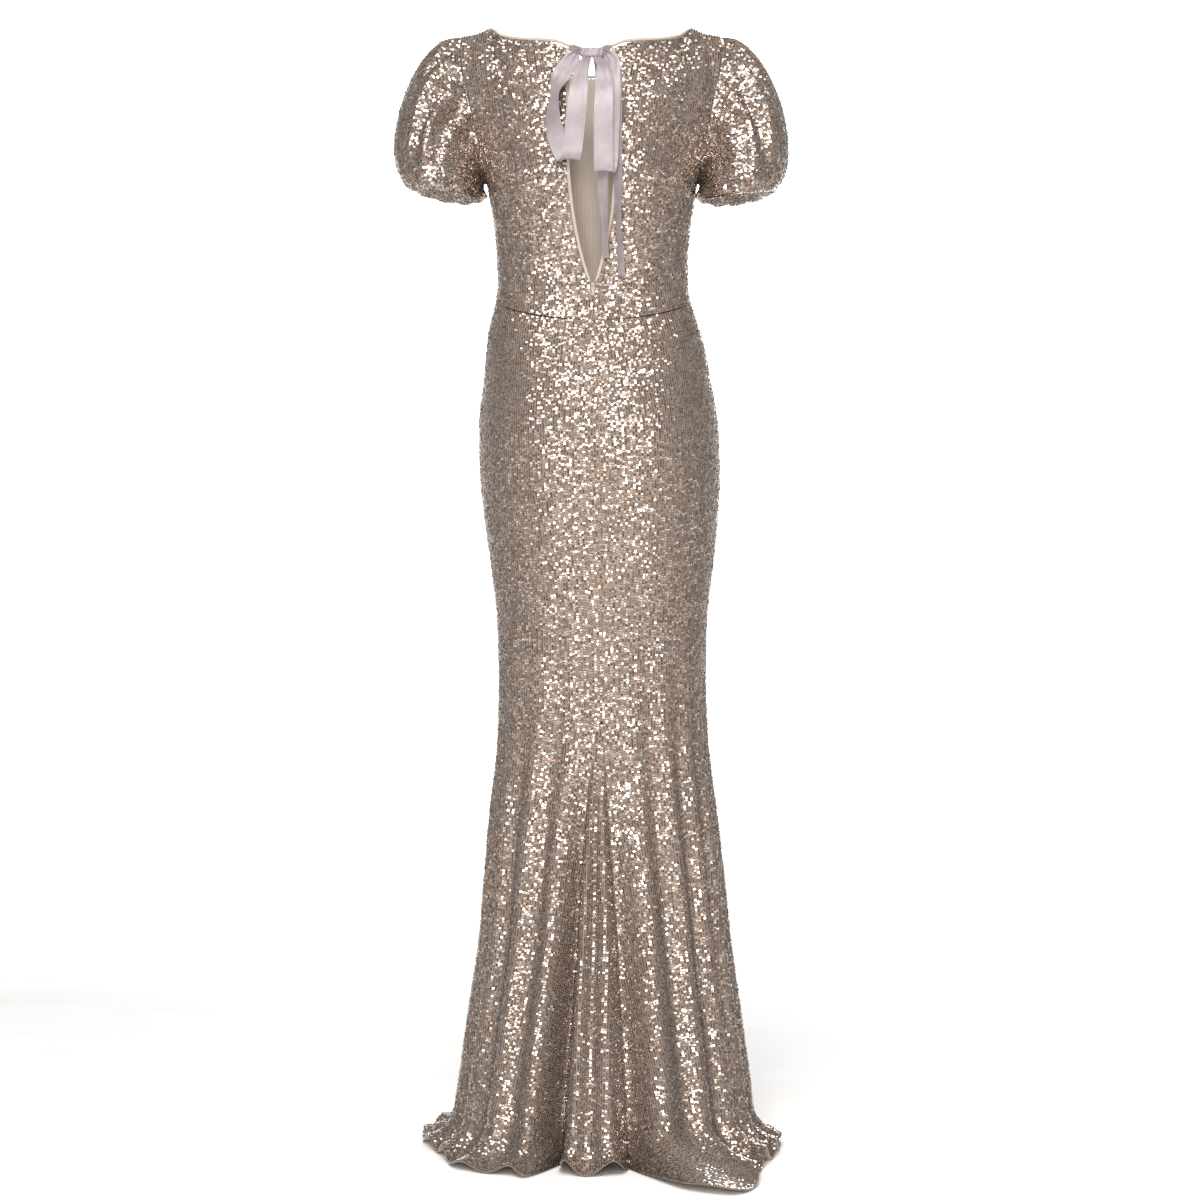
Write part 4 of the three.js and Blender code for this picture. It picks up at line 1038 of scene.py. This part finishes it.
def bound_strip(name, surface_of, ends, count):
    """A rounded strip along an edge. surface_of takes the place along and across it."""
    along = np.linspace(*ends, count * QUALITY + 1)
    across = np.linspace(0, 1, 7)
    grid = surface_of(along[:, None], across[None, :])
    out = outward(grid, axis_of(grid, below=40))
    round_top = 0.25 + 0.75 * np.sqrt(1 - (2 * across - 1) ** 2)[None, :] * np.ones(grid.shape[:2])
    made = shell(name, grid, out, round_top, -2.0, [binding_tape])
    return made, grid[:, 1], out[:, 1]


bindings, stitch_lines = {}, []
front_ends = (0.5 - 5 / 18, 0.5 + 5 / 18)
strips = {
    "neck_binding_front": (lambda a, c: front_point(a, 1.0, BINDING * (1 - c)), front_ends, 40),
}
for name, side in (("left", 1), ("right", -1)):
    strips[f"neck_binding_{name}"] = (
        lambda a, c, side=side: back_point(side, a, 1.0, BINDING * (1 - c), 0), (0, 5 / 9), 24,
    )
    strips[f"keyhole_binding_{name}"] = (
        lambda a, c, side=side: back_point(side, 0 * a, a, BINDING + 3 * GAP, BINDING * (1 - c)),
        (up_the_back(KEYHOLE_BASE), 1.0), 30,
    )
for name, (surface_of, ends, count) in strips.items():
    bindings[name], line, out = bound_strip(f"{name}_strip", surface_of, ends, count)
    stitch_lines.append((line, out))
print("bound edges", len(bindings))

# %% A stitch and a zip tooth


def rod(name, half_length, half_width, half_height, sides=6, rings=4):
    """A small rounded rod along Y, in millimetres, with its faces outward."""
    tilts = np.arange(1, rings)[:, None] * math.pi / rings
    turns = math.pi / 2 + np.arange(sides) * 2 * math.pi / sides
    belts = points(np.sin(tilts) * np.cos(turns), np.cos(tilts), -np.sin(tilts) * np.sin(turns))
    corners = np.concatenate([[[0, 1, 0]], belts.reshape(-1, 3), [[0, -1, 0]]])
    ids = 1 + np.arange((rings - 1) * sides).reshape(rings - 1, sides)
    beside = np.roll(ids, -1, 1)
    faces = [[0, *pair] for pair in zip(ids[0].tolist(), beside[0].tolist())]
    faces += np.stack([ids[:-1], ids[1:], beside[1:], beside[:-1]], -1).reshape(-1, 4).tolist()
    faces += [[len(corners) - 1, *pair] for pair in zip(beside[-1].tolist(), ids[-1].tolist())]
    mesh = bpy.data.meshes.new(name)
    mesh.from_pydata((corners * [half_width, half_length, half_height] / 1000).tolist(), [], faces)
    return placed(name, mesh)


def spaced(line, out, spacing):
    """Places at equal distances along a line, with their directions."""
    far = np.concatenate([[0], np.cumsum(np.linalg.norm(np.diff(line, axis=0), axis=1))])
    at = np.arange(spacing / 2, far[-1], spacing)
    way = unit(np.gradient(line, axis=0))
    return [np.stack([np.interp(at, far, g[:, i]) for i in range(3)], 1) for g in (line, out, way)]


stitch_shape = rod("stitch", 1.1, 0.22, 0.2)
found = [spaced(line, out, 3.0) for line, out in stitch_lines]
spots, ways, runs = (np.concatenate(part) for part in zip(*found))
stitches = sewn(
    "edge_stitches", spots + unit(ways) * 0.95, unit(ways), unit(runs), stitch_shape, thread,
    tilt=0.08, smallest=0.9, seed=3,
)
print("stitches", len(spots))

# %% [markdown]
# ## The zip
# The zip is of the hidden kind: its coil lies inside, and the cloth's edges meet over it. Only its
# slider and the tab show, just under the keyhole. The coil is made of two rows of nylon teeth on
# the inner face of the tape.

# %% Zip teeth, tape and slider
TOOTH_SPACING = 1.5
COIL_DEPTH = 2 + 2 * GAP + 0.8 + 0.5  # under the cloth, two gaps, the tape and half a tooth
TAPE_FACES = (-2.65, -3.35)
tooth_shape = rod("tooth", 1.5, 0.5, 0.55)
levels = np.linspace(1140, 880, 200)
heights = dropped(levels, 0)
faces = []
for side in (-1, 1):
    line = bodice_point(1, side, 1.0 / body("half_width", heights), heights)
    line[:, 1] -= COIL_DEPTH
    at, out, way = spaced(line, points(0, -1, 0 * heights), TOOTH_SPACING)
    turned_way = unit(points(np.ones(len(at)), 0, 0.35 * side))
    faces.append((at + np.array([0, 0, side * TOOTH_SPACING / 4]), out, turned_way))
spots, ways, runs = (np.concatenate(part) for part in zip(*faces))
teeth = sewn("zip_teeth", spots, unit(ways), runs, tooth_shape, coil_nylon, seed=5)
tape_levels = np.concatenate([np.linspace(1144, 1136, 3), np.linspace(1135, ZIP_END, 70)])
tape_heights = dropped(tape_levels, 0)[:, None]
tape_across = np.linspace(-9, 9, 13)[None, :]
grid = bodice_point(
    1, np.sign(tape_across), np.abs(tape_across) / body("half_width", tape_heights), tape_heights,
)
out = outward(grid, axis_of(grid))
tape = shell("zip_tape_cloth", grid, out, *TAPE_FACES, [zip_tape])
for name in ("zip_slider", "zip_pull"):
    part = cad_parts[name]
    part.data.materials.clear()
    part.data.materials.append(enamel)
print("zip teeth", len(spots))

# %% [markdown]
# ## The bow
# Ribbon is a strip that bends easily one way. Each length is set out by stations: how far across and
# down from the knot, how far from the cloth, how it leans and turns, and its width. Near the knot
# the ribbon is squeezed, so it folds into soft pleats that open out further down.

# %% Ribbon stations
KNOT = {"height": 1463, "across": 1.5, "half_wide": 15.6, "half_tall": 7.6, "half_deep": 7, "out": 11}
RIBBON_COLUMNS = "across down out lean turn width"
RIBBONS = {
    "bow_loop_left": [
        (-7, 2, 12, 80, 0, 8), (-17, 3, 14, 76, 0, 9), (-21, 8, 16, 52, 0, 16), (-26, 17, 16, 40, 8, 24),
        (-39, 36, 16, 34, 20, 25), (-48, 62, 14, 16, 60, 22), (-50, 92, 11, 4, 40, 25),
        (-43, 122, 9, -12, 8, 26), (-33, 143, 11, -4, 0, 26), (-27, 148, 18, 0, 0, 26),
        (-24, 136, 23, 4, 0, 26), (-20, 100, 24, 4, 0, 26), (-16, 60, 24, 6, 0, 24),
        (-11, 28, 22, 8, 0, 18), (-5, 11.4, 14, 4, 0, 12), (-3, 4, 12, 4, 0, 9),
    ],
    "bow_loop_right": [
        (10, 2, 12, -80, 0, 8), (19.6, 3, 14, -76, 0, 9), (24, 8, 17, -46, 0, 16), (28, 17, 17, -25, 0, 22),
        (28, 50, 15, 0, 0, 24), (26, 100, 13, 0, 0, 25), (24, 146, 13, 0, 0, 25),
        (21, 162, 17, 0, 0, 25), (18, 164, 22, 0, 0, 25), (17, 148, 26, 0, 0, 25),
        (17, 100, 27, 0, 0, 25), (18, 54, 26, -4, 0, 24), (17, 26, 22, -14, 0, 18),
        (9, 11.4, 14, 0, 0, 11), (6, 4, 12, 0, 0, 9),
    ],
    "bow_tail_long": [
        (9, 4, 8, -84, 0, 5), (17.4, 7, 7.6, -80, 0, 6), (26, 14, 7.5, -48, 0, 9),
        (33, 25, 7.5, -30, 10, 12),
        (36, 38, 7.5, -10, 30, 15), (36, 70, 7, 0, 46, 15), (36, 120, 6.5, 0, 40, 15),
        (37, 180, 6.5, 0, 46, 15), (37, 226, 7, 0, 60, 14), (39, 258, 6.5, 0, 55, 13),
        (41, 298, 6, -8, 50, 13),
    ],
    "bow_tail_short": [
        (5, 4, 8, 0, 0, 8), (8, 11.4, 7, 0, 0, 9), (14, 40, 4, 0, 0, 16), (15, 110, 4, 0, 0, 17),
        (15, 155, 6, 0, 16, 17), (17, 195, 8, 0, 38, 15), (19, 238, 8, 0, 44, 13),
        (20, 276, 9, 6, 44, 11),
    ],
}
CORNER = KEYHOLE_HALF_WIDTH - GAP
for name, side in (("left", 1), ("right", -1)):
    RIBBONS[f"ribbon_tie_{name}"] = [
        (-side * CORNER, -5, 1.6, 90, 0, 9), (-side * (CORNER - 5), -5, 3.4, 82 * side, 0, 9),
        (KNOT["across"] - side * (KNOT["half_wide"] - 4), 0, 9, 74 * side, 0, 8),
    ]


def ribbon_grid(rows, count, pleats):
    """The middle surface of a ribbon and its directions, with pleats at its squeezed ends."""
    stations = table("place " + RIBBON_COLUMNS, *[(i, *row) for i, row in enumerate(rows)])
    place = np.linspace(0, len(rows) - 1, count)
    get = {column: lookup(stations, column, place) for column in RIBBON_COLUMNS.split()}
    height = KNOT["height"] - get["down"]
    face = np.maximum(bodice_depth(1, 0.17, np.minimum(height, 1470)), 68)  # the back beside the bow
    line = points(float(body("sway", 1450)) - get["across"], face + get["out"], height)
    lean, turn = np.radians(get["lean"]), np.radians(get["turn"])
    wide = points(-np.cos(lean) * np.cos(turn), np.sin(turn), -np.sin(lean) * np.cos(turn))
    along = unit(np.gradient(line, axis=0))
    flat = unit(wide - along * np.sum(wide * along, 1, keepdims=True))
    normal = np.cross(along, flat)
    part = np.linspace(-1, 1, 15)
    far = np.concatenate([[0], np.cumsum(np.linalg.norm(np.diff(line, axis=0), axis=1))])
    ends = np.exp(-far / 26) + (np.exp(-(far[-1] - far) / 26) if pleats[1] else 0)
    fold = pleats[0] * ends[:, None] * np.cos(part[None, :] * 2.6 * math.pi + 0.7)
    sag = 0.5 * np.sin(far / 17)[:, None] * part[None, :]
    cup = 0.9 * (part[None, :] ** 2 - 0.4) * np.sin(far / 31 + 1)[:, None]
    grid = line[:, None] + flat[:, None] * (get["width"][:, None] / 2 * part[None, :])[..., None]
    return grid + normal[:, None] * (fold + sag + cup)[..., None], far[-1]


RIBBON_FACES = (0.22, -0.22)
ribbons, lengths = {}, {}
for name, rows in RIBBONS.items():
    tie = name.startswith("ribbon_tie")
    pleats = (0.35, True) if tie else (1.9, "loop" in name)
    grid, lengths[name] = ribbon_grid(rows, 12 if tie else 40 * QUALITY, pleats)
    ribbons[name] = shell(f"{name}_ribbon", grid, normals(grid), *RIBBON_FACES, [satin])
print("ribbon lengths in mm", {name: round(length) for name, length in lengths.items()})

# %% [markdown]
# The knot is the ribbon's own middle, pulled tight round the loops. Tying a strip in the script
# would cost far more than it shows at this size, so the knot is a small rounded box whose surface
# dips where the turns of ribbon meet.

# %% The knot
lon, lat = np.meshgrid(np.linspace(0, 2 * math.pi, 65)[:-1], np.linspace(-math.pi / 2, math.pi / 2, 33))


def boxy(value, power=0.6):
    return np.sign(value) * np.abs(value) ** power


across = boxy(np.cos(lat) * np.cos(lon))
deep = boxy(np.cos(lat) * np.sin(lon))
tall = boxy(np.sin(lat))
wraps = 1 + 0.1 * np.cos(across * 13 + 1.2 * tall) - 0.08 * np.exp(-((across / 0.16) ** 2))
knot_face = float(bodice_depth(1, 0.0, 1470.0))
grid = points(
    float(body("sway", 1450)) - KNOT["across"] + KNOT["half_wide"] * across,
    knot_face + KNOT["out"] + KNOT["half_deep"] * deep * wraps,
    KNOT["height"] - 3 + KNOT["half_tall"] * tall * wraps * (0.86 + 0.14 * across**2),
)
rows, columns = grid.shape[:2]
ids = np.arange(rows * columns).reshape(rows, columns)
beside = np.roll(ids, -1, 1)
faces = np.stack([ids[:-1], beside[:-1], beside[1:], ids[1:]], -1).reshape(-1, 4).tolist()
uvs = np.stack([across * 16, tall * 12], -1).reshape(-1, 2) / 1000
knot = build("bow_knot_wrap", grid.reshape(-1, 3), faces, [satin], uvs=uvs, sharp=80)
work = bmesh.new()
work.from_mesh(knot.data)
bmesh.ops.remove_doubles(work, verts=work.verts, dist=1e-6)
bmesh.ops.recalc_face_normals(work, faces=work.faces)
work.to_mesh(knot.data)
work.free()
for shape_used in (*SEQUINS.values(), stitch_shape, tooth_shape):
    bpy.data.objects.remove(shape_used)
print("knot faces", len(knot.data.polygons))

# %% [markdown]
# ## Riding each piece on the dress
# Each piece made here rides on the dress's body. The shells stand for their solids, which are
# hidden. The size each sheet was cut to is listed, and its cloth area is printed beside it.

# %% Riding, replacing and cloth sizes


def area_of(made):
    """One face's area of a shell, in square metres."""
    return sum(face.area for face in made.data.polygons) / 2


def declare(made, solid=None):
    """Rides a piece on the dress, in place of a solid if one is named."""
    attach(made, "dress")
    if solid:
        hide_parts(solid)


for name, made in shells.items():
    declare(made, name)
    declare(sequins[name])
for name, made in bindings.items():
    declare(made, name)
for name, made in ribbons.items():
    declare(made, name)
declare(knot, "bow_knot")
declare(stitches)
declare(teeth)
declare(tape, "zip_tape")

# Width and length of each cut in metres, the share of that rectangle it fills, and how it hangs.
CUTS = {
    "bodice_front": (0.42, 0.38, 0.86, "hung"),
    "bodice_back_left": (0.19, 0.39, 0.8, "hung"),
    "bodice_back_right": (0.19, 0.39, 0.8, "hung"),
    "sleeve_left": (0.5, 0.2, 0.84, "gathered"),
    "sleeve_right": (0.5, 0.2, 0.84, "gathered"),
    "skirt_front": (0.58, 1.22, 0.79, "hung"),
    "skirt_back_left": (0.34, 1.27, 0.64, "hung"),
    "skirt_back_right": (0.4, 1.38, 0.56, "hung"),
    "back_godet": (0.2, 0.72, 0.42, "hung"),
}
for name, (width, length, share, held) in CUTS.items():
    print(name, "cloth", round(area_of(shells[name]), 3), "cut", round(width * length * share, 3))
RIBBON_CUTS = {
    "bow_loop_left": (0.024, ["ribbon_tie_left"]),
    "bow_loop_right": (0.024, ["ribbon_tie_right"]),
    "bow_tail_long": (0.014, []),
    "bow_tail_short": (0.015, []),
}
for name, (width, ties) in RIBBON_CUTS.items():
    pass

# %% [markdown]
# ## Floor, light and camera
# The dress stands on plain pale paper that curves up far behind it. The light is soft. A tall box
# stands just before the camera, so discs that face the camera flash down the middle of the back and
# on the crests of the folds, and the sides stay quiet. A high box lights the shoulders and hips. A
# dim one in front keeps the front readable. No light shows itself to a camera.

# %% Floor
SWEEP_START = -9.0
SWEEP_RADIUS = 3.0
FLOOR = -1.5
turns = np.linspace(0, math.pi / 2, 17)
profile = [(10.0, FLOOR)]
profile += [
    (SWEEP_START - SWEEP_RADIUS * math.sin(turn), FLOOR + SWEEP_RADIUS * (1 - math.cos(turn)))
    for turn in turns
]
profile.append((SWEEP_START - SWEEP_RADIUS, 7.0))
corners = [(x, y, z) for y, z in profile for x in (-14.0, 14.0)]
faces = [(2 * i, 2 * i + 2, 2 * i + 3, 2 * i + 1) for i in range(len(profile) - 1)]
mesh = bpy.data.meshes.new("floor")
mesh.from_pydata(corners, [], faces)
mesh.shade_smooth()
floor = placed("floor", mesh)
# Gives a plain pale ground, with clouds too faint to notice.
mesh.materials.append(mottled("seamless_paper", {"Roughness": 0.9}, 0.003, "#f1efed", "#f6f5f3"))
print("floor faces", len(mesh.polygons))

# %% Light
world = bpy.data.worlds.new("studio")
bpy.context.scene.world = world
world.use_nodes = True
sky = world.node_tree.nodes["Background"]
sky.inputs["Color"].default_value = linear("#f1f1f2")
sky.inputs["Strength"].default_value = 0.42


def softbox(name, place, aim, width, height, watts):
    """An area light that faces a point."""
    light = bpy.data.lights.new(name, "AREA")
    light.shape, light.size, light.size_y, light.energy = "RECTANGLE", width, height, watts
    made = placed(name, light)
    made.location = place
    from_place = np.array(aim) - np.array(place)
    flat = math.hypot(from_place[0], from_place[1])
    made.rotation_euler = (
        math.atan2(flat, -from_place[2]), 0, math.atan2(from_place[1], from_place[0]) - math.pi / 2,
    )
    made.visible_camera = False
    return made


softbox("key_high", (0.4, 3.4, 1.7), (0, 0, -0.4), 1.6, 0.6, 110)
softbox("camera_strip", (0.1, 4.4, -0.45), (0, 0, -0.7), 0.7, 1.9, 120)
softbox("floor_wash", (0, 1.6, 2.6), (0, 1.8, -1.5), 2.4, 1.2, 60)
softbox("back_wash", (0, -6.0, 4.5), (0, -11.5, 0.5), 9.0, 3.0, 1500)
softbox("front_dim", (-0.8, -3.6, 0.2), (0, 0, -0.7), 1.2, 1.6, 45)

# %% [markdown]
# The camera stands behind the dress at the height of its middle and looks level, as in the
# photograph. A long lens from far off keeps the hem and the neck from leaning away.

# %% Camera
camera_data = bpy.data.cameras.new("camera")
camera_data.lens = 99.63
camera_data.sensor_width = 36
camera = placed("camera", camera_data)
camera.location = (-0.0126, 4.5, -0.768)
camera.rotation_euler = (math.pi / 2, 0, math.pi)
bpy.context.scene.camera = camera
bpy.context.scene.view_settings.view_transform = "Standard"
print("camera at", tuple(round(v, 3) for v in camera.location))
